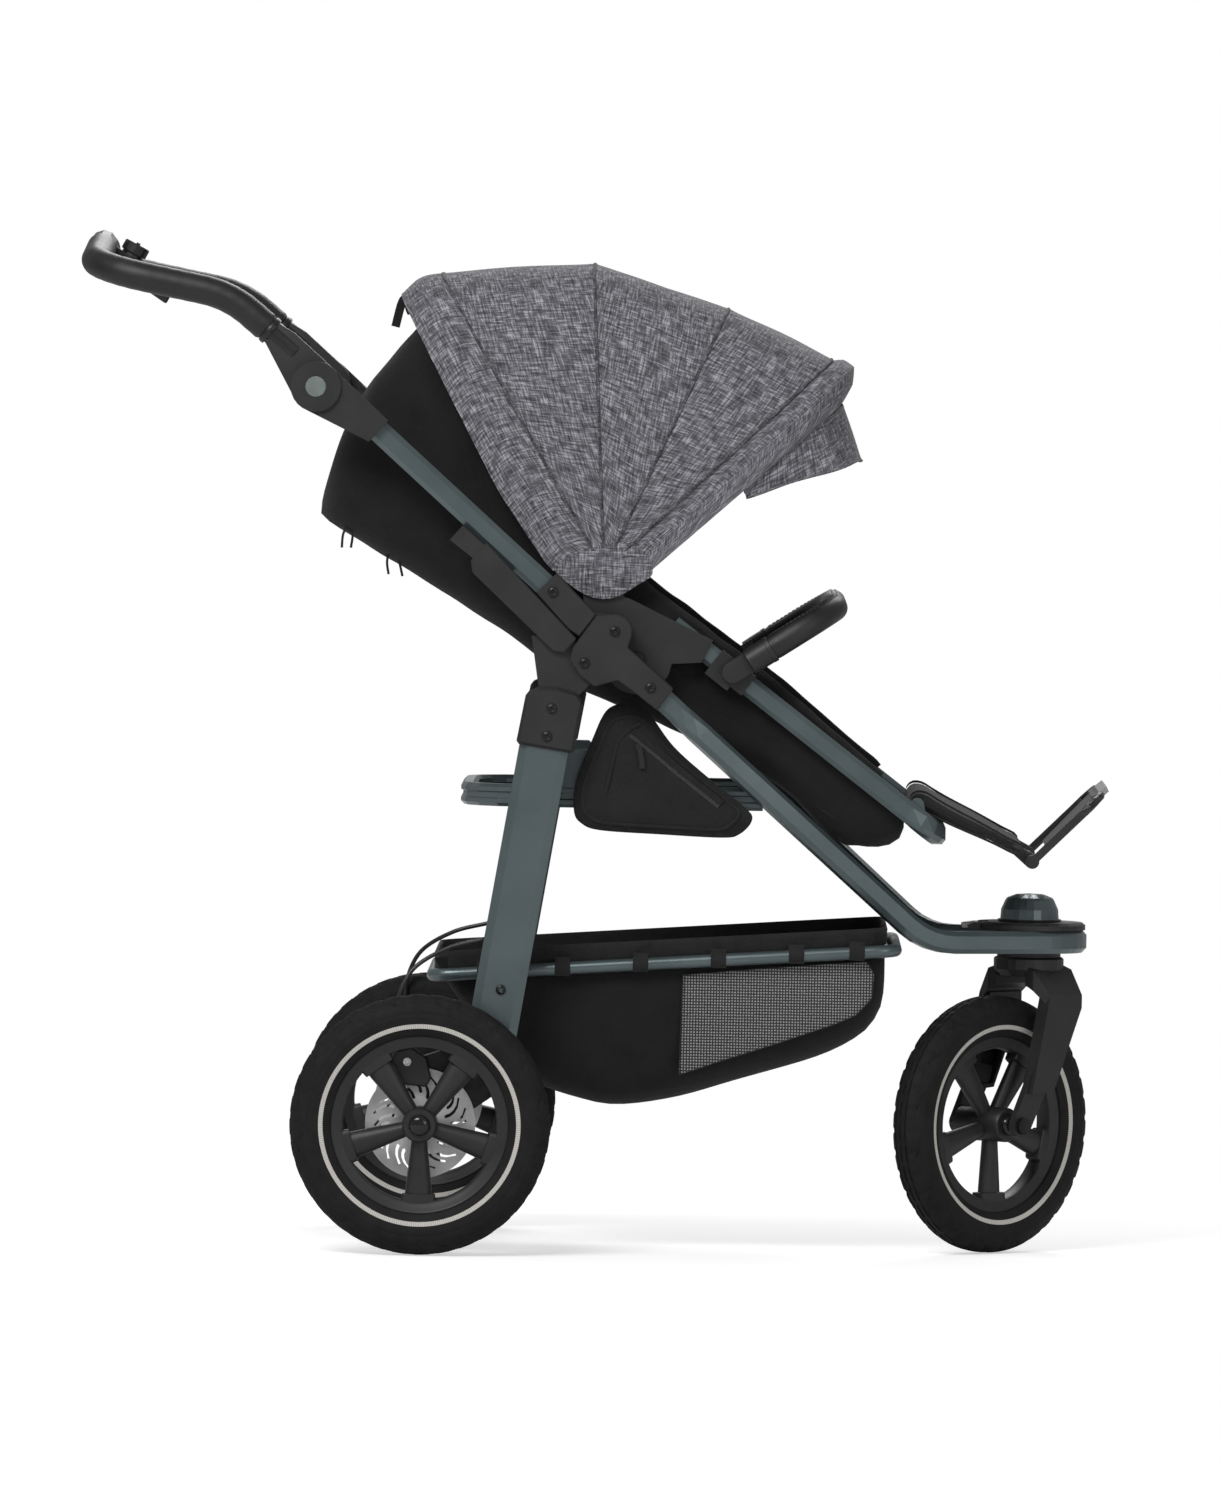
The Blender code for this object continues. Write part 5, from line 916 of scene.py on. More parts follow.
loops = [(x, sign) for sign in (-1.0, 1.0) for x in (0.070, 0.160, 0.250, 0.340, 0.430, 0.500)]
for number, (x, sign) in enumerate(loops):
    centre = at(x, rail_z(x), sign * rail_y)
    bm = bmesh.new()
    rings = []
    for along in (-0.0090, -0.0086, 0.0086, 0.0090):
        ring = []
        for step in range(28):
            a = math.tau * step / 28
            r = 0.0088 if abs(along) < 0.0088 else 0.0080
            to_hem = 0.0046 if math.sin(a) > 0.3 and math.cos(a) < 0.2 else 0.0
            place = Vector((along, sign * (r * math.cos(a)), r * math.sin(a) + to_hem))
            ring.append(bm.verts.new(centre + place))
        rings.append(ring)
    skin(bm, rings)
    lay_uv(bm, lambda place: (place.x, place.z))
    label = "basket_loop_%02d" % number
    keep(new_object(label, finished(bm, label, 45.0), webbing), "front_frame", "black_fabric")

mesh_cloth, tree, shader = finish("grey_mesh", (0.10, 0.10, 0.10), 0.62)
place = put(tree, "ShaderNodeUVMap", uv_map="UVMap")
cells = put(tree, "ShaderNodeTexVoronoi", {"Vector": place.outputs["UV"], "Scale": 300.0, "Randomness": 0.10})
tint(tree, shader, cells.outputs["Distance"], (0.20, (0.36, 0.36, 0.37)), (0.36, (0.020, 0.020, 0.021)))
raise_surface(tree, shader, cells.outputs["Distance"], 0.0004, -0.8)
window = [(0.2990, 0.3230), (0.2960, 0.2060), (0.3440, 0.2230), (0.4100, 0.2450), (0.4750, 0.2680),
          (0.5000, 0.2790), (0.5180, 0.2980), (0.5210, 0.3280), (0.5120, 0.3420), (0.4600, 0.3380),
          (0.3800, 0.3310)]


def flat_patch(name, outline, y, sign, thickness, material, bulge=0.0, rings=6):
    """A flat or gently raised patch on a side, through an outline of (x, z) places, closed behind."""
    around = 96
    edge = resample([at(x, z) for x, z in outline], around, True)
    middle = sum(edge, Vector()) / len(edge)
    bm = bmesh.new()
    rows = []
    for number in range(rings):
        share = number / rings
        out = sign * (y + thickness + bulge * (1.0 - (1.0 - share) ** 2.0))
        rows.append([bm.verts.new((p.x + (middle.x - p.x) * share, out, p.z + (middle.z - p.z) * share))
                     for p in edge])
    top = bm.verts.new((middle.x, sign * (y + thickness + bulge), middle.z))
    back = [bm.verts.new((p.x, sign * y, p.z)) for p in edge]
    for index in range(around):
        after = (index + 1) % around
        for here, there in zip(rows, rows[1:]):
            bm.faces.new((here[index], here[after], there[after], there[index]))
        bm.faces.new((rows[-1][index], rows[-1][after], top))
        bm.faces.new((rows[0][index], rows[0][after], back[after], back[index]))
    bm.faces.new(back)
    lay_uv(bm, lambda place: (place.x, place.z))
    return new_object(name, finished(bm, name, 40.0), material)


for side, sign in (("right", -1.0), ("left", 1.0)):
    patch = flat_patch("basket_window_" + side, window, 0.1626, sign, 0.0010, mesh_cloth)
    keep(patch, "front_frame", "black_fabric")
    sweep("basket_window_tape_" + side, resample([at(x, z, sign * 0.1637) for x, z in window], 160, True),
          [(-0.0004, -0.0030), (0.0006, -0.0030), (0.0008, 0.0), (0.0006, 0.0030), (-0.0004, 0.0030)],
          webbing, "front_frame", "black_fabric", upright=level_y)


# Side bag.
# A zipped pouch of slightly lighter black polyester hangs inside the right frame tube. Its two puffed faces
# are sewn together round a piping; the zip runs down its slanted front and carries a rubber puller.

bag_line = [(0.2310, 0.6370), (0.2060, 0.6270), (0.1890, 0.5910), (0.1720, 0.5460), (0.1700, 0.5120),
            (0.1790, 0.4980), (0.2010, 0.4905), (0.2700, 0.4870), (0.3410, 0.4845), (0.3610, 0.4885),
            (0.3750, 0.5030), (0.3700, 0.5150), (0.3280, 0.5480), (0.2840, 0.5860), (0.2530, 0.6260)]
bag_line = [(q.x - AXLE_X, q.z) for q in through([at(x, z) for x, z in bag_line + bag_line[:1]], 6)[:-1]]
bag_edge = resample([at(x, z) for x, z in bag_line], 64, True)
bag_y = 0.1920
bag_cloth = woven("bag_polyester", (0.0085, 0.0085, 0.0088), (0.0200, 0.0200, 0.0206), 0.0007, 0.06)


def bag_puff(spot):
    """How deep a place lies inside the bag's edge, and how far the stuffed bag stands out there."""
    depth = min((spot - q).length for q in bag_edge)
    return depth, 0.0138 * (1.0 - math.exp(-depth / 0.016))


bag_deepest = 0.0148
for sign, name, y in ((-1.0, "outer", bag_y), (1.0, "inner", -bag_y - 0.0005)):
    half_bag = flat_patch("side_bag_" + name, bag_line, y, sign, 0.0, bag_cloth, 0.0, 12)
    bm = bmesh.new()
    bm.from_mesh(half_bag.data)
    for vert in bm.verts:
        depth, puff = bag_puff(Vector((vert.co.x, 0.0, vert.co.z)))
        puff += 0.0009 * math.sin(vert.co.x * 90.0 + vert.co.z * 40.0) * min(1.0, depth / 0.02)
        vert.co.y += sign * min(bag_deepest, puff)
    bm.to_mesh(half_bag.data)
    bm.free()
    keep(half_bag, "front_frame", "black_fabric", *(("side_bag",) if sign < 0.0 else ()))
piping = closed_loft("side_bag_piping", resample([at(x, z, -0.1922) for x, z in bag_line], 200, True),
                     ring_of(0.0014, 10), webbing)
keep(piping, "front_frame", "black_fabric")


def on_bag(x, z, out=0.0006):
    """A place on the bag's outer face."""
    spot = at(x, z)
    return Vector((spot.x, -bag_y - min(bag_deepest, bag_puff(spot)[1]) - out, spot.z))


middle_x, middle_z = 0.255, 0.540
inset_line = [(middle_x + (x - middle_x) * 0.87, middle_z + (z - middle_z) * 0.85)
              for x, z in bag_line + bag_line[:1]]
bag_seams = [inset_line,
             [(0.2250, 0.6170), (0.2170, 0.5800), (0.2080, 0.5400), (0.2016, 0.4990)],
             [(0.2170, 0.5900), (0.2290, 0.6040), (0.2440, 0.6130)]]
for number, places in enumerate(bag_seams):
    sweep("side_bag_seam_%d" % number, resample([on_bag(x, z) for x, z in places], 120), ring_of(0.0017, 8),
          webbing, "front_frame", "black_fabric", upright=level_minus_y)
zip_teeth, tree, shader = finish("zip_teeth", (0.030, 0.030, 0.031), 0.34)
place = put(tree, "ShaderNodeUVMap", uv_map="UVMap")
rungs = put(tree, "ShaderNodeTexWave", {"Vector": place.outputs["UV"], "Scale": 0.314 / 0.0022},
            wave_type="BANDS", bands_direction="X")
raise_surface(tree, shader, rungs.outputs["Fac"], 0.0008, 1.0)
tint(tree, shader, rungs.outputs["Fac"], (0.3, 0.010), (0.7, 0.055))


def strip_of(half_width, half_thickness):
    """The four corners of a flat strip's section."""
    return [(-half_width, -half_thickness), (half_width, -half_thickness), (half_width, half_thickness),
            (-half_width, half_thickness)]


bag_zip = through([on_bag(x, z, 0.0) for x, z in (
    (0.2330, 0.6000), (0.2600, 0.5790), (0.2900, 0.5550), (0.3180, 0.5335), (0.3370, 0.5190))], 10)
sweep("zip_tape_bag", bag_zip,
      [(-0.0090, 0.0), (-0.0088, 0.0006), (0.0088, 0.0006), (0.0090, 0.0), (0.0, -0.0006)],
      webbing, "front_frame", "black_fabric", upright=level_minus_y)
sweep("zip_teeth_bag", bag_zip, [(-0.0024, 0.0003), (-0.0020, 0.0016), (0.0020, 0.0016), (0.0024, 0.0003)],
      zip_teeth, "front_frame", "dark_plastic", upright=level_minus_y)
sweep("bag_zip_puller", [at(0.2420, 0.5900, -0.2082), at(0.2450, 0.5830, -0.2088),
                         at(0.2475, 0.5700, -0.2090), at(0.2480, 0.5620, -0.2086)],
      strip_of(0.0030, 0.0007), satin, "front_frame", "dark_plastic", upright=level_minus_y)


# Handlebar.
# A bent aluminium bar joined to the push frame by two toothed knuckles. Its two sides wear sleeves of
# imitation leather closed by a saddle-stitched seam; a moulded housing in the middle carries the controls.

leather, tree, shader = finish("stitched_leather", (0.0150, 0.0150, 0.0155), 0.46)
pebbles = put(tree, "ShaderNodeTexVoronoi", {"Vector": put(tree, "ShaderNodeTexCoord").outputs["Object"],
                                             "Scale": 950.0}, feature="DISTANCE_TO_EDGE")
hide = speckle(tree, 45.0, 4.0)
tint(tree, shader, hide, (0.30, 0.0085), (0.70, 0.0145))
dull(tree, shader, hide, 0.36, 0.56)
folds = raise_surface(tree, shader, speckle(tree, 120.0, 3.0), 0.0006, 0.35)
raise_again(tree, shader, folds, pebbles.outputs["Distance"], 0.0003, 0.55)
thread_grey, tree, shader = finish("grey_thread", (0.055, 0.055, 0.056), 0.7)
twist = put(tree, "ShaderNodeTexWave", {"Vector": put(tree, "ShaderNodeTexCoord").outputs["Object"],
                                        "Scale": 500.0}, bands_direction="DIAGONAL")
tint(tree, shader, twist.outputs["Fac"], (0.3, 0.040), (0.7, 0.075))


def bent(points, radii, steps):
    """A polyline with its corners bent to the given radii."""
    path = [Vector(points[0])]
    for index in range(1, len(points) - 1):
        before, corner, after = (Vector(points[index + offset]) for offset in (-1, 0, 1))
        way_in = (corner - before).normalized()
        way_out = (after - corner).normalized()
        bend = way_in.angle(way_out)
        radius = radii[index - 1]
        if bend < 0.001:
            path.append(corner)
            continue
        reach = radius * math.tan(bend / 2.0)
        start = corner - way_in * reach
        sideways = (way_out - way_in * way_in.dot(way_out)).normalized()
        for step in range(steps + 1):
            angle = bend * step / steps
            path.append(start + sideways * radius * (1.0 - math.cos(angle))
                        + way_in * radius * math.sin(angle))
    path.append(Vector(points[-1]))
    return path


def part_of(route, first, last, step):
    """The stretch of a route between two lengths, in even steps."""
    part, gone = [], 0.0
    for here, there in zip(route, route[1:]):
        length = (there - here).length
        low, high = max(first, gone), min(last, gone + length)
        if low < high:
            if not part:
                part.append(here.lerp(there, (low - gone) / length))
            part.append(here.lerp(there, (high - gone) / length))
        gone += length
    return resample(part, max(3, int((last - first) / step)))


def stitches(name, route, offset):
    """A row of saddle stitches laid on a surface along a route; offset gives the way outwards at a share."""
    pitch, thick = 0.0055, 0.00045
    bm = bmesh.new()
    count = int(gone_along(route)[-1] / pitch)
    dense = resample(route, count * 6 + 1)
    for number in range(count):
        a = dense[number * 6 + 1]
        b = dense[number * 6 + 5]
        ahead = (b - a).normalized()
        out = offset(number / count).normalized()
        side = ahead.cross(out).normalized()
        rings = []
        for along, size in ((0.0, 0.35), (0.12, 0.9), (0.5, 1.0), (0.88, 0.9), (1.0, 0.35)):
            centre = a.lerp(b, along) + out * (thick * (0.5 if along in (0.0, 1.0) else 0.9))
            rings.append([bm.verts.new(centre + side * u + out * v) for u, v in ring_of(thick * size, 6)])
        skin(bm, rings)
    return new_object(name, finished(bm, name), thread_grey)


def plate(name, outline, y_low, y_high, material, edge, steps):
    """A flat moulding through an (x, z) outline, with rounded edges."""
    bm = bmesh.new()
    low = [bm.verts.new(at(x, z, y_low)) for x, z in outline]
    high = [bm.verts.new(at(x, z, y_high)) for x, z in outline]
    count = len(outline)
    bm.faces.new(low)
    bm.faces.new(list(reversed(high)))
    for index in range(count):
        after = (index + 1) % count
        bm.faces.new((low[index], low[after], high[after], high[index]))
    bmesh.ops.recalc_face_normals(bm, faces=bm.faces)
    rims = [e for e in bm.edges if abs(e.verts[0].co.y - e.verts[1].co.y) < 1e-6]
    bmesh.ops.bevel(bm, geom=rims, offset=edge, segments=steps, profile=0.6, affect="EDGES",
                    clamp_overlap=True)
    bmesh.ops.remove_doubles(bm, verts=bm.verts, dist=1e-6)
    return new_object(name, finished(bm, name, 32.0), material)


def hull_of(points):
    """The convex outline of (x, z) places, in order."""
    spots = sorted(set((round(x, 6), round(z, 6)) for x, z in points))
    chain = []
    for way in (spots, spots[::-1]):
        part = []
        for q in way:
            while len(part) > 1 and ((part[-1][0] - part[-2][0]) * (q[1] - part[-2][1])
                                     - (part[-1][1] - part[-2][1]) * (q[0] - part[-2][0])) <= 0.0:
                part.pop()
            part.append(q)
        chain += part[:-1]
    return chain


def round_spot(centre, radius):
    return [(centre[0] + u, centre[1] + v) for u, v in ring_of(radius, 28)]


def beside(route, index, turn, reach):
    """A place off a route's point: turned round it from its level side and at a reach."""
    ahead = heading(route, index)
    sideways = ahead.cross(Vector((0.0, 0.0, 1.0))).normalized()
    over = sideways.cross(ahead).normalized()
    a = math.radians(turn)
    return route[index] + (sideways * math.cos(a) + over * math.sin(a)) * reach


def grooved(radius, groove, turn, spread):
    """A round section pressed in along a seam that lies at a turn."""
    ring = []
    for step in range(36):
        a = math.tau * step / 36
        apart = abs((a - math.radians(turn) + math.pi) % math.tau - math.pi)
        pressed_in = groove * math.exp(-(apart / spread) ** 2.0)
        ring.append(((radius - pressed_in) * math.cos(a), (radius - pressed_in) * math.sin(a)))
    return ring


bar_corners = ((-0.1600, 1.0346), (-0.2360, 1.0986), (-0.3940, 1.1293))
bar_y, grip_start = 0.224, 0.042
bar_route = bent([at(x, z, -bar_y) for x, z in bar_corners] + [at(-0.3910, 1.1580, 0.0)]
                 + [at(x, z, bar_y) for x, z in reversed(bar_corners)], (0.12, 0.062, 0.30, 0.062, 0.12), 14)
bar_length = gone_along(bar_route)[-1]
sweep("handlebar_bar", part_of(bar_route, 0.0, bar_length, 0.006), ring_of(0.0145, 28), satin,
      "handlebar", "black_plastic", "handlebar_tube")
for side, sign in (("right", -1.0), ("left", 1.0)):
    neck = hull_of(round_spot((-0.135, 0.9955), 0.0285)
                   + [(-0.196, 1.0480), (-0.180, 1.0680), (-0.160, 1.0560)])
    knuckle = plate("handle_knuckle_" + side, neck, *sorted((sign * 0.2125, sign * 0.2362)), moulded,
                    0.0020, 3)
    keep(knuckle, "handlebar", "black_plastic")
    from_end = bar_route if sign < 0.0 else bar_route[::-1]
    route = part_of(from_end, grip_start, bar_length / 2.0 - 0.0503, 0.004)
    ends = 0.004 / gone_along(route)[-1]

    def grip_ring(index, share):
        swell = min(1.0, share / ends, (1.0 - share) / ends)
        puckers = 0.00012 * math.sin(share * 140.0)
        return grooved(0.0150 + 0.0020 * math.sqrt(max(0.0, swell)) + puckers, 0.0007, -38.0, 0.07)

    sweep("grip_leather_" + side, route, grip_ring, leather,
          "handlebar", "grip_leather", "handlebar_grip_" + side)
    for row, turn in (("upper", -27.0), ("lower", -49.0)):
        seam_route = [beside(route, index, turn, 0.0169) for index in range(3, len(route) - 3)]
        centres = resample(route[3:-3], 200)

        def outwards(share, seam_route=seam_route, centres=centres):
            spot = seam_route[min(len(seam_route) - 1, int(share * (len(seam_route) - 1)))]
            return spot - centres[min(199, int(share * 199))]

        seam = stitches("grip_stitches_%s_%s" % (row, side), seam_route, outwards)
        keep(seam, "handlebar", "grip_leather")
    sweep("grip_collar_" + side, part_of(from_end, grip_start - 0.007, grip_start - 0.0004, 0.0012),
          lambda index, share: ring_of(
              0.0158 + 0.0014 * math.sin(math.pi * min(1.0, 0.25 + share * 0.6)), 28),
          satin, "handlebar", "black_plastic")

# Seat frame.
# The U-shaped seat tube and its moulded arms clip on the hinge stubs. The black tub hangs from them: five
# panels of padded polyester with taped seams, a recline zip and webbing ties on its back.

for node_name in ("seat_arm_right", "seat_arm_left"):
    wear(node_name, moulded)
tub_pairs = [((0.0060, 1.0520), (-0.0150, 1.0660)), ((0.0250, 1.0300), (-0.0455, 1.0310)),
             ((0.0450, 1.0080), (-0.0750, 0.9930)), ((0.0800, 0.9660), (-0.1030, 0.9400)),
             ((0.1080, 0.9300), (-0.1265, 0.8560)), ((0.1180, 0.9200), (-0.1130, 0.8380)),
             ((0.1500, 0.8820), (-0.0400, 0.7950)), ((0.1900, 0.8360), (0.0690, 0.7290)),
             ((0.2150, 0.8070), (0.1170, 0.6965)), ((0.2430, 0.7750), (0.1700, 0.6550)),
             ((0.3000, 0.7330), (0.2650, 0.6165)), ((0.3870, 0.6690), (0.4000, 0.5500)),
             ((0.4500, 0.6170), (0.4730, 0.4840)), ((0.4720, 0.5990), (0.4980, 0.4775)),
             ((0.5050, 0.5710), (0.5300, 0.4775)), ((0.5180, 0.5610), (0.5460, 0.4880)),
             ((0.5230, 0.5560), (0.5480, 0.5080))]
tub_grid = trough(tub_pairs, 0.1752, 90, 61, 6.5)
for r, row in enumerate(tub_grid):
    for c, point in enumerate(row):
        a = abs(c / 30.0 - 1.0)
        quilt = 0.0022 * math.sin(r * 0.9 + c * 0.35) * math.sin(c * 0.5 - r * 0.22)
        point.y *= 1.0 - 0.010 * (0.5 + 0.5 * math.sin(r * 0.55)) * (1.0 - abs(2.0 * a - 1.0))
        slack = min(1.0, max(0.0, (r - 44.0) / 14.0)) * min(1.0, max(0.0, (88.0 - r) / 8.0))
        drape = sum(math.exp(-((a - fold - 0.0022 * (r - 60.0)) / 0.035) ** 2.0)
                    for fold in (0.42, 0.56, 0.70))
        point.y *= 1.0 - 0.030 * slack * drape
        point.z += quilt * 0.4
tub = shell("tub_cloth", tub_grid, 0.0045, black_cloth, True)
keep(tub, "seat_unit", "black_fabric", "seat_tub")
for name, edge in (("right", 0), ("left", 60)):
    sweep("tub_rim_" + name, resample([row[edge] for row in tub_grid], 120), [
        (-0.0016, -0.0060), (0.0016, -0.0060), (0.0022, 0.0), (0.0018, 0.0042), (0.0, 0.0056),
        (-0.0018, 0.0042), (-0.0022, 0.0)], webbing, "seat_unit", "black_fabric")
tub_wall = [point for row in tub_grid for point in row[:20]]


def on_tub(x, z, out=0.0006):
    """A place on the tub's right wall."""
    spot = at(x, z)
    near = min(tub_wall, key=lambda q: (q.x - spot.x) ** 2.0 + (q.z - spot.z) ** 2.0)
    return Vector((spot.x, -abs(near.y) - out, spot.z))


tub_seams = (("piping", [(0.0008, 1.0150), (-0.0180, 0.9890), (-0.0390, 0.9610)], 0.0022),
             ("hood", [(-0.0646, 0.9370), (-0.0785, 0.8975), (-0.0935, 0.8530)], 0.0016),
             ("hood_edge", [(-0.0696, 0.9370), (-0.0835, 0.8975), (-0.0985, 0.8530)], 0.0016),
             ("drape", [(0.2600, 0.6900), (0.3400, 0.6200), (0.4300, 0.5580), (0.5050, 0.5120)], 0.0016),
             ("front", [(0.3300, 0.5950), (0.4000, 0.5620), (0.4600, 0.5150), (0.4980, 0.4980)], 0.0016))
for name, places, thick in tub_seams:
    for side, sign in (("right", 1.0), ("left", -1.0)):
        route = [Vector((q.x, sign * q.y, q.z)) for q in (on_tub(x, z) for x, z in places)]
        sweep("tub_seam_%s_%s" % (name, side), through(route, 12), ring_of(thick, 8), webbing,
              "seat_unit", "black_fabric", upright=level_y)
for name, places in (("zip", [(-0.0965, 0.8520), (-0.0990, 0.8420), (-0.1000, 0.8330)]),
                     ("zip_tail", [(-0.1000, 0.8330), (-0.1035, 0.8230), (-0.1045, 0.8090)]),
                     ("zip_tail_2", [(-0.1000, 0.8330), (-0.0925, 0.8260), (-0.0940, 0.8090)]),
                     ("tie", [(-0.0500, 0.8080), (-0.0520, 0.7930), (-0.0500, 0.7790)]),
                     ("tie_2", [(-0.0400, 0.8040), (-0.0370, 0.7900), (-0.0340, 0.7770)])):
    route = [on_tub(x, z, 0.0012) for x, z in places]
    sweep("tub_" + name, through(route, 8), strip_of(0.0014, 0.0004), webbing, "seat_unit", "black_fabric",
          upright=level_y)


# Seat pad.
# A quilted liner of brushed black polyester over foam lies on the tub's floor. It starts as the CAD pad,
# a little smaller, and is blown up by a cloth simulation; cross seams are pressed in afterwards.

pad_cloth = woven("brushed_liner", (0.0050, 0.0050, 0.0052), (0.0135, 0.0135, 0.0140), 0.0009, 0.12,
                  0.92, 0.45, 30.0)


def read_points(mesh):
    """A mesh's points and normals as arrays."""
    points = np.empty(len(mesh.vertices) * 3)
    mesh.vertices.foreach_get("co", points)
    normals = np.empty(len(mesh.vertices) * 3)
    mesh.vertex_normals.foreach_get("vector", normals)
    return points.reshape(-1, 3), normals.reshape(-1, 3)


def cushion(name, node_name, material):
    """A copy of a CAD pad, remeshed and blown up by cloth under pressure, with its growth capped."""
    shrink, voxel, pressure, most_growth, frames = 0.002, 0.006, 4.0, 0.006, 20
    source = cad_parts[node_name]
    bm = bmesh.new()
    bm.from_mesh(source.data)
    bm.transform(source.matrix_world)
    bmesh.ops.remove_doubles(bm, verts=bm.verts, dist=1e-5)
    bmesh.ops.recalc_face_normals(bm, faces=bm.faces)
    bm.normal_update()
    for vert, normal in [(vert, vert.normal.copy()) for vert in bm.verts]:
        vert.co -= normal * shrink
    made = new_object(name, finished(bm, name, outwards=False), material)
    even = made.modifiers.new("even", "REMESH")
    even.mode = "VOXEL"
    even.voxel_size = voxel
    start, _ = read_points(settle(made))
    cloth = made.modifiers.new("cloth", "CLOTH")
    cloth.settings.use_pressure = True
    cloth.settings.uniform_pressure_force = pressure
    cloth.settings.effector_weights.gravity = 0.0
    cloth.settings.quality = 4
    cloth.settings.mass = 0.3
    cloth.point_cache.frame_start = 1
    cloth.point_cache.frame_end = frames
    scene = bpy.context.scene
    for number in range(1, frames + 1):
        scene.frame_set(number)
    blown = settle(made)
    scene.frame_set(1)
    shift = read_points(blown)[0] - start
    size = np.linalg.norm(shift, axis=1, keepdims=True)
    shift *= np.minimum(1.0, most_growth / np.maximum(size, 1e-9))
    blown.vertices.foreach_set("co", (start + shift).reshape(-1))
    blown.update()
    finer = made.modifiers.new("finer", "SUBSURF")
    finer.levels = 1
    finer.subdivision_type = "CATMULL_CLARK"
    settle(made).shade_smooth()
    return made


def paint_uv(mesh):
    """A UV in metres from the mesh's places across and along."""
    layer = mesh.uv_layers.get("UVMap") or mesh.uv_layers.new(name="UVMap")
    corners = np.empty(len(mesh.loops), dtype=np.int64)
    mesh.loops.foreach_get("vertex_index", corners)
    spread = read_points(mesh)[0][corners][:, [1, 0]] * (1.0, 1.15)
    layer.data.foreach_set("uv", spread.reshape(-1))


pad = cushion("seat_liner", "seat_pad", pad_cloth)
points, normals = read_points(pad.data)
dip = np.zeros(len(points))
for seam in (at(0.0760, 0.7450), at(0.1755, 0.6740), at(0.3400, 0.6010), at(0.4200, 0.5560),
             at(-0.0100, 0.7980)):
    apart = np.hypot(points[:, 0] - seam.x, 0.4 * (points[:, 2] - seam.z))
    dip = np.maximum(dip, np.exp(-(apart / 0.0045) ** 2.0))
for channel in (-0.055, 0.055):
    dip = np.maximum(dip, 0.8 * np.exp(-((points[:, 1] - channel) / 0.0045) ** 2.0))
pucker = 0.0005 * np.sin(points[:, 0] * 260.0 + 20.0 * points[:, 1]) * (1.0 - dip)
points += normals * ((normals[:, 2] > 0.2) * (pucker - 0.0030 * dip))[:, None]
pad.data.vertices.foreach_set("co", points.reshape(-1))
pad.data.update()
paint_uv(pad.data)
keep(pad, "seat_unit", "black_fabric", "seat_pad")


# Harness.
# Five-point harness: two padded shoulder straps and two lap straps of black webbing run into one moulded
# buckle with a press button, and a crotch strap holds the buckle down.

def ribbon(name, points, width, thick, material=webbing, pad_out=0.0, upright=Vector((0.0, 0.0, 1.0))):
    """A flat strap through points, puffed up along its middle where it is padded."""
    route = resample(through(points, 12), max(8, int(gone_along(points)[-1] / 0.006)))

    def band(index, share):
        puff = pad_out * math.sin(math.pi * min(1.0, max(0.0, share))) ** 0.4 if pad_out else 0.0
        quilt = 0.0006 * math.sin(share * 60.0) if pad_out else 0.0
        t = thick / 2.0 + puff + quilt
        w = width / 2.0
        return [(-w, -t * 0.4), (-w * 0.86, -t), (0.0, -t * 1.05), (w * 0.86, -t), (w, -t * 0.4),
                (w, t * 0.4), (w * 0.86, t), (0.0, t * 1.05), (-w * 0.86, t), (-w, t * 0.4)]

    return sweep(name, route, band, material, "seat_unit", "black_fabric", upright=upright)


for side, sign in (("right", -1.0), ("left", 1.0)):
    straps = [at(0.2080, 0.6975, sign * 0.012), at(0.1500, 0.7345, sign * 0.030),
              at(0.0800, 0.7745, sign * 0.050), at(0.0100, 0.8245, sign * 0.056)]
    upper = ribbon("harness_shoulder_" + side, straps, 0.025, 0.0018)
    covered = [straps[1].lerp(straps[0], 0.35), straps[1].lerp(straps[2], 0.4),
               straps[2].lerp(straps[3], 0.45)]
    ribbon("harness_cover_" + side, covered, 0.040, 0.005, pad_cloth, 0.0012)
    ribbon("harness_lap_" + side, [at(0.2105, 0.6925, sign * 0.016), at(0.2095, 0.6905, sign * 0.060),
                                   at(0.2080, 0.6900, sign * 0.108)], 0.024, 0.0018)
    if sign < 0.0:
        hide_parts("harness")
ribbon("harness_crotch", [at(0.2140, 0.6885), at(0.2420, 0.6775), at(0.2740, 0.6650)], 0.028, 0.0018,
       upright=Vector((0.4, 0.0, 0.9)))
buckle = plate("harness_buckle", [(0.1950, 0.6910), (0.1970, 0.6885), (0.2180, 0.6812), (0.2215, 0.6822),
                                  (0.2258, 0.6925), (0.2246, 0.6955), (0.2030, 0.7030), (0.1995, 0.7015)],
               -0.0215, 0.0215, satin, 0.0026, 3)
keep(buckle, "seat_unit", "dark_plastic")
button = plate("harness_button", [(0.2070, 0.7005), (0.2185, 0.6965), (0.2192, 0.6982), (0.2078, 0.7022)],
               -0.0080, 0.0080, pressed, 0.0005, 2)
keep(button, "seat_unit", "button_grey_green")


# Bumper bar.
# A bent tube in stitched imitation leather, with moulded knuckles that plug into the seat frame and a
# narrow collar at each end of the sleeve.

socket_x, socket_z, bend_x, bend_z, bumper_y = 0.350, 0.6745, 0.467, 0.750, 0.219
rise = Vector((bend_x - socket_x, 0.0, bend_z - socket_z)).normalized()
foot_x, foot_z = socket_x + rise.x * 0.026, socket_z + rise.z * 0.026
bumper_route = bent([at(foot_x, foot_z, -bumper_y), at(bend_x, bend_z, -bumper_y),
                     at(bend_x, bend_z, bumper_y), at(foot_x, foot_z, bumper_y)], (0.060, 0.060), 16)
bumper_length = gone_along(bumper_route)[-1]


def bumper_ring(index, share):
    sleeved = min(share, 1.0 - share) * bumper_length > 0.030
    return grooved(0.0148 if sleeved else 0.0142, 0.0007 if sleeved else 0.0, -90.0, 0.08)


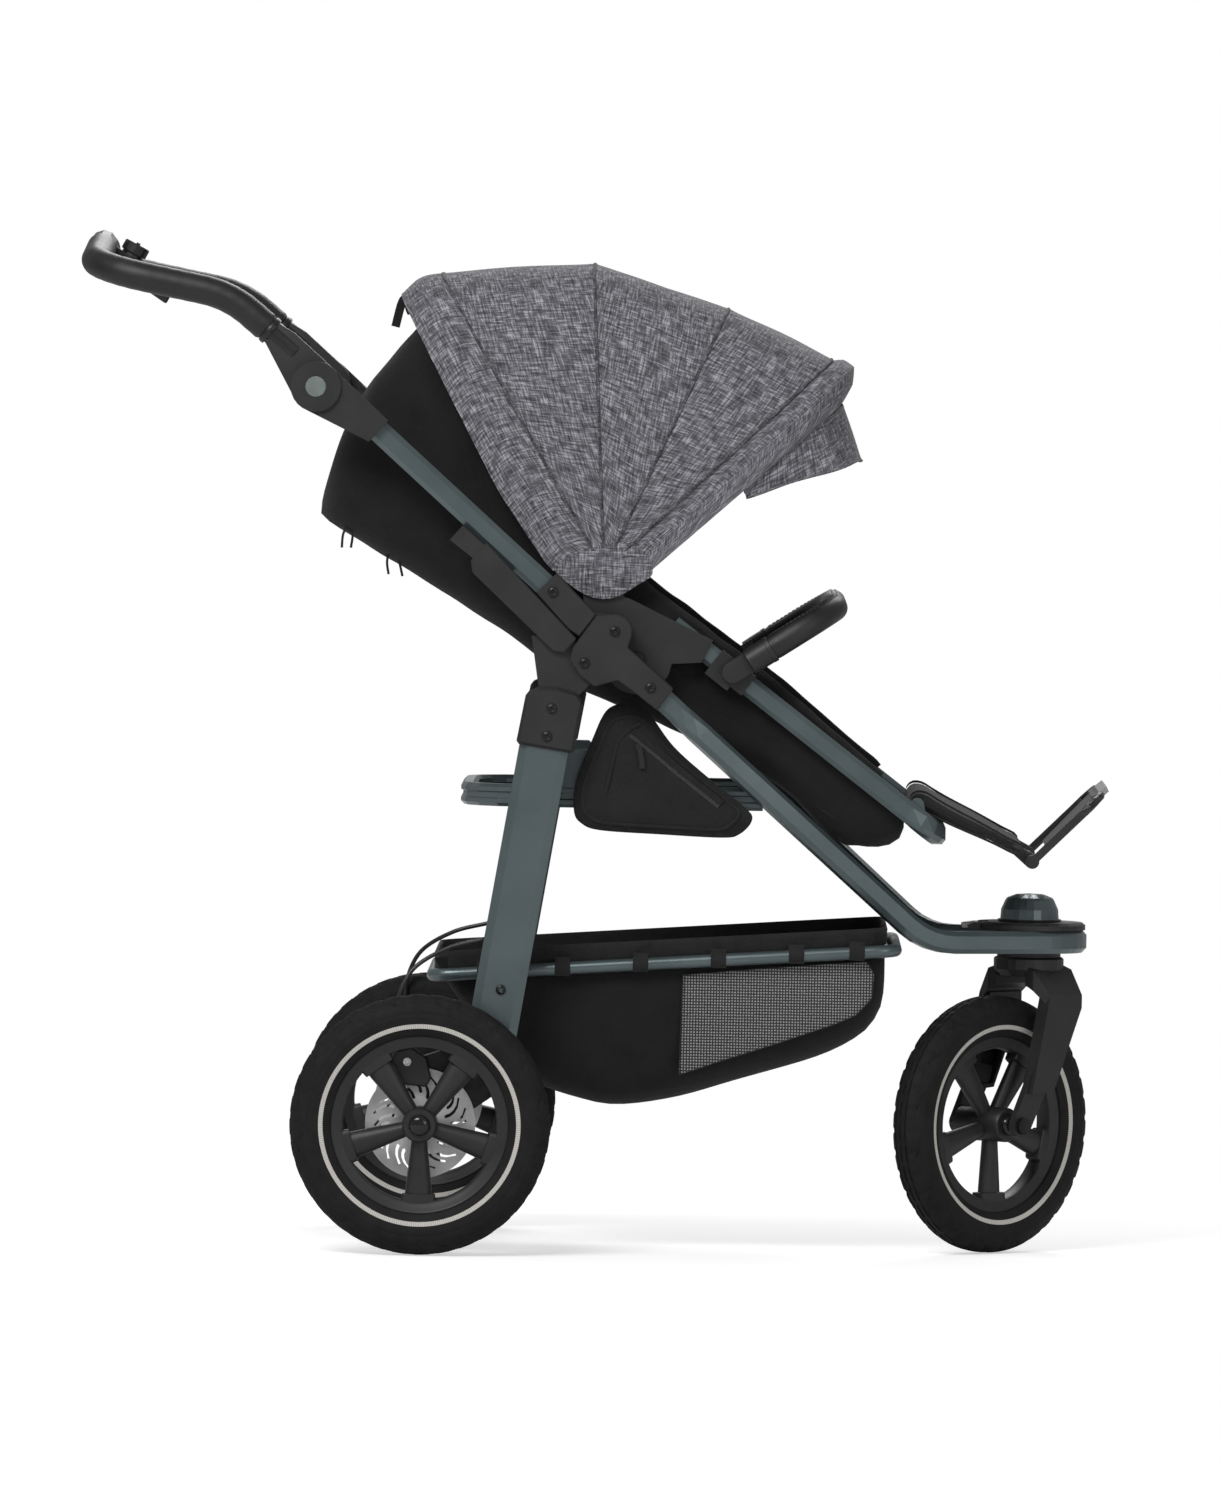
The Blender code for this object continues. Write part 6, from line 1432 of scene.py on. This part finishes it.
sweep("bumper_leather", part_of(bumper_route, 0.0, bumper_length, 0.004), bumper_ring, leather,
      "bumper", "grip_leather", "bumper_bar")
for row, turn in (("front", 100.0), ("rear", 80.0)):
    centres = part_of(bumper_route, 0.032, bumper_length - 0.032, 0.004)
    line = [beside(centres, index, turn, 0.0147) for index in range(len(centres))]

    def away(share, line=line, centres=centres):
        number = min(len(line) - 1, int(share * (len(line) - 1)))
        return line[number] - centres[number]

    keep(stitches("bumper_stitches_" + row, line, away), "bumper", "grip_leather")
for side, sign in (("right", -1.0), ("left", 1.0)):
    ends = [(foot_x + s * -rise.z * 0.0125 + 0.008 * rise.x, foot_z + s * rise.x * 0.0125 + 0.008 * rise.z)
            for s in (-1.0, 1.0)]
    knuckle = plate("bumper_knuckle_" + side, hull_of(round_spot((socket_x, socket_z), 0.0125) + ends),
                    *sorted((sign * 0.2039, sign * 0.2150)), moulded, 0.0014, 3)
    keep(knuckle, "bumper", "black_plastic")
    foot = at(foot_x, foot_z, sign * bumper_y)
    sweep("bumper_socket_" + side, [
        foot + rise * along for along in (-0.004, -0.003, 0.010, 0.022, 0.0225, 0.0275, 0.028)],
        lambda index, share: ring_of((0.0135, 0.0149, 0.0153, 0.0153, 0.0159, 0.0159, 0.0150)[index], 32),
        moulded, "bumper", "black_plastic", upright=level_y)


# Footrest.
# A padded calf rest in black polyester with a piped edge is hinged to the seat tube. Below it a bent rod
# frame carries a stretched mesh, a ribbed tread and a pale moulded tip.

board_line = [(0.5575, 0.5190), (0.5570, 0.5320), (0.5640, 0.5398), (0.5760, 0.5392), (0.5900, 0.5310),
              (0.6100, 0.5200), (0.6400, 0.5050), (0.6700, 0.4890), (0.6885, 0.4790), (0.6850, 0.4685),
              (0.6500, 0.4840), (0.6060, 0.5022), (0.5780, 0.5150), (0.5680, 0.5150)]
board_edge = resample(through([at(x, z) for x, z in board_line + board_line[:1]], 6), 64)[:-1]
board_head = at(0.5660, 0.5270)
board_run = at(0.6860, 0.4735) - board_head
rows = []
for step in range(41):
    a = -1.0 + step / 20.0
    tuck = (1.0 - abs(a) ** 9.0) ** (1.0 / 3.0) if abs(a) < 1.0 else 0.02
    row = []
    for q in board_edge:
        gone = (q - board_head).dot(board_run) / board_run.length_squared
        core = board_head + board_run * max(0.0, min(1.0, gone))
        core += (q - core) * max(0.06, tuck)
        row.append(Vector((core.x, 0.1690 * a, core.z + 0.0006 * math.sin(a * 9.0 + q.x * 60.0))))
    rows.append(row)
bm = bmesh.new()
skin(bm, [[bm.verts.new(q) for q in row] for row in rows])
lay_uv(bm, lambda place: (place.y, place.x * 1.1))
calf_rest = new_object("calf_rest", finished(bm, "calf_rest", 60.0), pad_cloth)
keep(calf_rest, "footrest", "black_fabric", "footrest_board")
for side, sign in (("right", -1.0), ("left", 1.0)):
    trim = closed_loft("calf_rest_piping_" + side, [Vector((q.x, sign * 0.1672, q.z)) for q in board_edge],
                       ring_of(0.0015, 8), webbing)
    keep(trim, "footrest", "black_fabric")
    ear_line = hull_of(round_spot((0.701, 0.460), 0.0085) + [(0.6760, 0.4830), (0.6700, 0.4760)])
    ear = plate("calf_rest_ear_" + side, ear_line, *sorted((sign * 0.120, sign * 0.132)), moulded,
                0.0014, 2)
    keep(ear, "footrest", "black_plastic")
    bolt = new_object("calf_rest_bolt_" + side, revolve("calf_rest_bolt", screw_profile, 24), blackened)
    bolt.data.transform(Matrix.Translation(at(0.566, 0.524, sign * 0.1775)) @ along_y(sign))
    keep(bolt, "footrest", "black_steel")


# Canopy.
# Grey mottled canvas sewn with welted seams is stretched over three folding bows that turn on the seat arms.
# A puffy brim, a visor and hub flaps ride the front bow; a black panel and pull tabs hang from the rear edge.

def mottled(name, *shades):
    """Canvas of uneven yarn on a UV in metres: short light and dark slubs cross along weft and warp."""
    made, tree, shader = finish(name, shades[1], 0.92, specular_ior_level=0.22, sheen_weight=0.08)
    place = put(tree, "ShaderNodeUVMap", uv_map="UVMap")
    slubs = []
    for scale in ((430.0, 46.0, 1.0), (46.0, 430.0, 1.0), (900.0, 110.0, 1.0), (110.0, 900.0, 1.0)):
        drawn = put(tree, "ShaderNodeMapping", {"Vector": place.outputs["UV"], "Scale": scale})
        slubs.append(put(tree, "ShaderNodeTexNoise", {
            "Vector": drawn.outputs["Vector"], "Scale": 1.0, "Detail": 1.0}).outputs["Fac"])
    coarse = put(tree, "ShaderNodeMath", {0: slubs[0], 1: slubs[1]}, operation="ADD")
    thin = put(tree, "ShaderNodeMath", {0: slubs[2], 1: slubs[3]}, operation="ADD")
    half = put(tree, "ShaderNodeMath", {0: thin.outputs[0], 1: 0.20}, operation="MULTIPLY")
    amount = put(tree, "ShaderNodeMath", {0: coarse.outputs[0], 1: 0.30, 2: half.outputs[0]},
                 operation="MULTIPLY_ADD")
    tint(tree, shader, amount.outputs[0], *zip((0.38, 0.50, 0.62), shades))
    soft = raise_surface(tree, shader, speckle(tree, 7.0, 2.0), 0.0030, 0.35)
    raise_again(tree, shader, soft, amount.outputs[0], 0.0008, 0.7)
    return made


canvas = mottled("mottled_canvas", (0.040, 0.040, 0.047), (0.128, 0.127, 0.142), (0.400, 0.396, 0.430))
# The welts' canvas is a darker copy of the canopy canvas: painted shade for the dark line along each seam.
seam_canvas_painted_shade = mottled("canvas_seam_painted_shade", (0.024, 0.024, 0.028), (0.075, 0.074, 0.083), (0.210, 0.207, 0.226))
canopy_hinge = at(0.200, 0.790)
canopy_half = 0.2070


def arch(angle_at, reach, inset=0.0, columns=65):
    """One squarish arch over the seat at an angle, or at a rule's angle for a distance from the hinge."""
    row = []
    for step in range(241):
        a = -1.0 + step / 120.0
        lift = max(0.025 / reach, 1.0 - abs(a) ** 2.2)
        thick = inset(lift) if callable(inset) else inset
        distance = (reach - thick) * lift
        y = math.copysign((canopy_half - thick) * (1.0 - lift ** 5.0) ** 0.2, a) if lift < 1.0 else 0.0
        angle = math.radians(angle_at(distance) if callable(angle_at) else angle_at)
        row.append(Vector((canopy_hinge.x + distance * math.cos(angle), y,
                           canopy_hinge.z + distance * math.sin(angle))))
    return resample(row, columns)


def rear_rule(distance):
    """The rear edge is two straight runs, passing 68 mm behind the hinge above and 52 mm behind it below."""
    runs = ((207.8, 0.0680), (214.2, 0.0522))
    return min([182.0] + [foot - math.degrees(math.acos(min(1.0, away / distance))) for foot, away in runs])


def brim_rule(distance):
    """The brim's front edge is a straight line that passes 36 mm off the hinge."""
    return 41.75 - math.degrees(math.asin(min(0.98, 0.036 / distance)))


def stretched(high_row, low_row, rows, sag, seed):
    """Cloth stretched between two arches: straight from bow to bow, drawn in a little between them."""
    grid = []
    for number in range(rows + 1):
        share = number / rows
        row = []
        for column, (a, b) in enumerate(zip(high_row, low_row)):
            place = a.lerp(b, share)
            spoke = Vector((place.x - canopy_hinge.x, 0.0, place.z - canopy_hinge.z))
            far = spoke.length
            u = column / (len(high_row) - 1)
            draw = sag * math.sin(math.pi * share) * min(1.0, far / 0.30)
            near_bow = math.exp(-min(share, 1.0 - share) / 0.10)
            pucker = 0.0007 * near_bow * math.sin(u * 150.0 + seed) * min(1.0, far / 0.1)
            wave = 0.0011 * math.sin(math.pi * share) * math.sin(u * 17.0 + share * 4.0 + seed)
            inward = Vector((spoke.x, place.y * 0.8, spoke.z)).normalized()
            row.append(place - inward * (draw + pucker + wave))
        grid.append(row)
    return grid


def declare_cloth(made):
    """Work out a sheet's flat width and height from its UV and area; the result is not used."""
    area = sum(face.area for face in made.data.polygons) / 2.0
    layer = made.data.uv_layers["UVMap"]
    spread = np.empty(len(layer.data) * 2)
    layer.data.foreach_get("uv", spread)
    spread = spread.reshape(-1, 2)
    wide = float(spread[:, 0].max() - spread[:, 0].min())
    tall = float(spread[:, 1].max() - spread[:, 1].min())
    tall = max(tall, area / wide * 1.002)


bows = [(120.0, 0.3890), (93.0, 0.3515), (65.5, 0.3315), (43.5, 0.3560)]
bow_rows = [arch(angle, reach) for angle, reach in bows]
rear_row = arch(rear_rule, 0.3945)
bow_bodies = ("seat_unit", "canopy_bow_1", "canopy_bow_2", "canopy_bow_3")
panels = (("rear", rear_row, bow_rows[0], 12, -0.0070), ("middle_rear", *bow_rows[0:2], 24, -0.0018),
          ("middle_front", *bow_rows[1:3], 24, -0.0008), ("front", *bow_rows[2:4], 20, -0.0016))
for number, (name, high_row, low_row, rows, sag) in enumerate(panels):
    cloth = shell("canopy_panel_" + name, stretched(high_row, low_row, rows, sag, 1.7 * number), 0.0012,
                  canvas)
    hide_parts("canopy_" + name)
    declare_cloth(cloth)
    if number == 0:
        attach(cloth, "seat_unit")
        continue
    (high_angle, _), (low_angle, _) = bows[number - 1], bows[number]
    ends = [canopy_hinge + Vector((0.20 * math.cos(math.radians(a)), 0.0, 0.20 * math.sin(math.radians(a))))
            for a in (high_angle, low_angle)]
    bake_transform(cloth)

vent_high = resample([q for q in rear_row if q.z > 1.0700], 61)
vent = shell("canopy_vent", stretched(vent_high, resample(tub_grid[0], 61), 8, 0.0, 3.0), 0.0008, black_cloth)
keep(vent, "seat_unit", "black_fabric")
declare_cloth(vent)
for name, places in (("pull", [(-0.0370, 1.1000), (-0.0430, 1.0930), (-0.0500, 1.0650)]),
                     ("pull_stub", [(-0.0360, 1.0980), (-0.0340, 1.0870), (-0.0313, 1.0810)])):
    sweep("canopy_" + name, through([at(x, z) for x, z in places], 8), strip_of(0.0050, 0.0014), webbing,
          "seat_unit", "black_fabric", upright=level_y)

across = Vector((0.0, 1.0, 0.001))
for number, (row, body) in enumerate(zip(bow_rows, bow_bodies)):
    proud = []
    for q in resample(row, 150):
        outward = Vector((q.x - canopy_hinge.x, 0.0, q.z - canopy_hinge.z))
        flank = abs(q.y) / canopy_half
        proud.append(q + outward.normalized() * 0.0012 * (1.0 - flank ** 8.0)
                     + Vector((0.0, q.y, 0.0)) * 0.006 * flank)
    # The welts wear the darker copy of the canvas: painted shade along the seams.
    sweep("canopy_welt_%d" % number, proud, ring_of(0.0019, 10), seam_canvas_painted_shade, body, "grey_fabric",
          upright=across)
for number, ((angle, reach), body) in enumerate(zip(bows[1:], bow_bodies[1:])):
    rod_row = arch(angle, reach, (0.0072, 0.0156, 0.0072)[number], 61)
    sweep("canopy_bow_rod_%d" % number, rod_row, ring_of(0.0036, 12), satin, body, "dark_plastic",
          upright=across)

brim_stations = []
for step in range(21):
    share = step / 20.0
    brim_stations.append((share, float(np.interp(share, (0.0, 0.2, 0.5, 0.8, 1.0),
                                                 (0.3560, 0.3650, 0.3675, 0.3550, 0.3340)))))


def brim_row(share, reach, inset):
    def angle(distance):
        return 43.5 + (brim_rule(distance) - 43.5) * share
    return arch(angle, reach, inset, 121)


def plump(share):
    """How far the roll stands out from its seams."""
    return 0.0075 * math.sin(math.pi * share) ** 0.45 - 0.0035


def gathers(row, share, amount):
    """Short folds across the brim, deepest along its seams."""
    folded = []
    for column, q in enumerate(row):
        u = column / (len(row) - 1)
        spoke = Vector((q.x - canopy_hinge.x, q.y * 0.6, q.z - canopy_hinge.z)).normalized()
        edge = math.exp(-min(share, 1.0 - share) / 0.16)
        far = min(1.0, math.hypot(q.x - canopy_hinge.x, q.z - canopy_hinge.z) / 0.10)
        fold = math.sin(u * 210.0 + 0.9 * math.sin(u * 37.0)) * edge + 0.6 * math.sin(u * 61.0 + 6.0 * share)
        folded.append(q + spoke * amount * fold * far)
    return folded


outer = [gathers(brim_row(share, reach + plump(share), 0.0), share, 0.00020)
         for share, reach in brim_stations]
inner = [brim_row(share, reach, lambda lift, share=share: 0.003 + 0.024 * math.sin(math.pi * share) * min(
    1.0, max(0.0, (lift - 0.2) / 0.4))) for share, reach in brim_stations]
ring_rows = outer + inner[::-1]
bm = bmesh.new()
layer = bm.loops.layers.uv.new("UVMap")
verts = [[bm.verts.new(q) for q in row] for row in ring_rows]
lines = []
for row in ring_rows:
    gone = gone_along(row)
    lines.append([value - gone[60] for value in gone])
for r in range(len(verts)):
    here, there = verts[r], verts[(r + 1) % len(verts)]
    for c in range(120):
        face = bm.faces.new((here[c], here[c + 1], there[c + 1], there[c]))
        spots = ((r, c, 0), (r, c + 1, 0), (r, c + 1, 1), (r, c, 1))
        for loop, (i, j, step) in zip(face.loops, spots):
            loop[layer].uv = (lines[(i + step) % len(lines)][j], (i + step) * 0.0045)
for end in (0, 120):
    cap = [row[end] for row in verts]
    bm.faces.new(cap if end else cap[::-1])
bmesh.ops.remove_doubles(bm, verts=bm.verts, dist=1e-6)
brim = new_object("canopy_brim_roll", finished(bm, "canopy_brim_roll", 70.0), canvas)
keep(brim, "canopy_bow_3", "dark_grey_fabric", "canopy_brim")

edge = arch(brim_rule, 0.3400, 0.006, 121)
edge = [q for q in edge if math.hypot(q.x - canopy_hinge.x, q.z - canopy_hinge.z) > 0.184]
edge = resample(edge, 81)
visor_rows = []
for step in range(13):
    share = step / 12.0
    row = []
    for column, q in enumerate(edge):
        distance = math.hypot(q.x - canopy_hinge.x, q.z - canopy_hinge.z)
        out = min(1.0, max(0.0, (distance - 0.190) / 0.140))
        low = Vector((0.361 + AXLE_X + 0.132 * out, q.y * 0.985, 0.8765 + 0.0435 * out))
        u = column / 80.0
        ripple = 0.0016 * share * math.sin(u * 34.0 + share)
        ripple += 0.0012 * math.sin(math.pi * share) * math.sin(u * 12.0)
        row.append(q.lerp(low, share) + Vector((ripple, 0.0, -0.4 * ripple)))
    visor_rows.append(row)
visor = shell("canopy_visor", visor_rows, 0.0016, canvas)
keep(visor, "canopy_bow_3", "dark_grey_fabric")
visor_hem = sweep("canopy_visor_hem", resample(visor_rows[-1], 120), ring_of(0.0028, 10, 0.0017), canvas,
                  "canopy_bow_3", "dark_grey_fabric", upright=Vector((0.3, 0.0, 1.0)))
declare_cloth(visor)
brim_end = [(0.1400, 0.7905), (0.1606, 0.7724), (0.1794, 0.7611), (0.1981, 0.7566), (0.2169, 0.7600),
            (0.2390, 0.7735), (0.2560, 0.7870), (0.2480, 0.8090), (0.2330, 0.8200), (0.2130, 0.8220),
            (0.1900, 0.8200), (0.1680, 0.8090), (0.1500, 0.7970)]
for side, sign in (("right", -1.0), ("left", 1.0)):
    rounded = through([at(x, z) for x, z in brim_end + brim_end[:1]], 6)
    flap = flat_patch("canopy_brim_end_" + side, [(q.x - AXLE_X, q.z) for q in rounded], 0.2078, sign, 0.0008,
                      canvas, 0.0030, 8)
    keep(flap, "canopy_bow_3", "dark_grey_fabric")
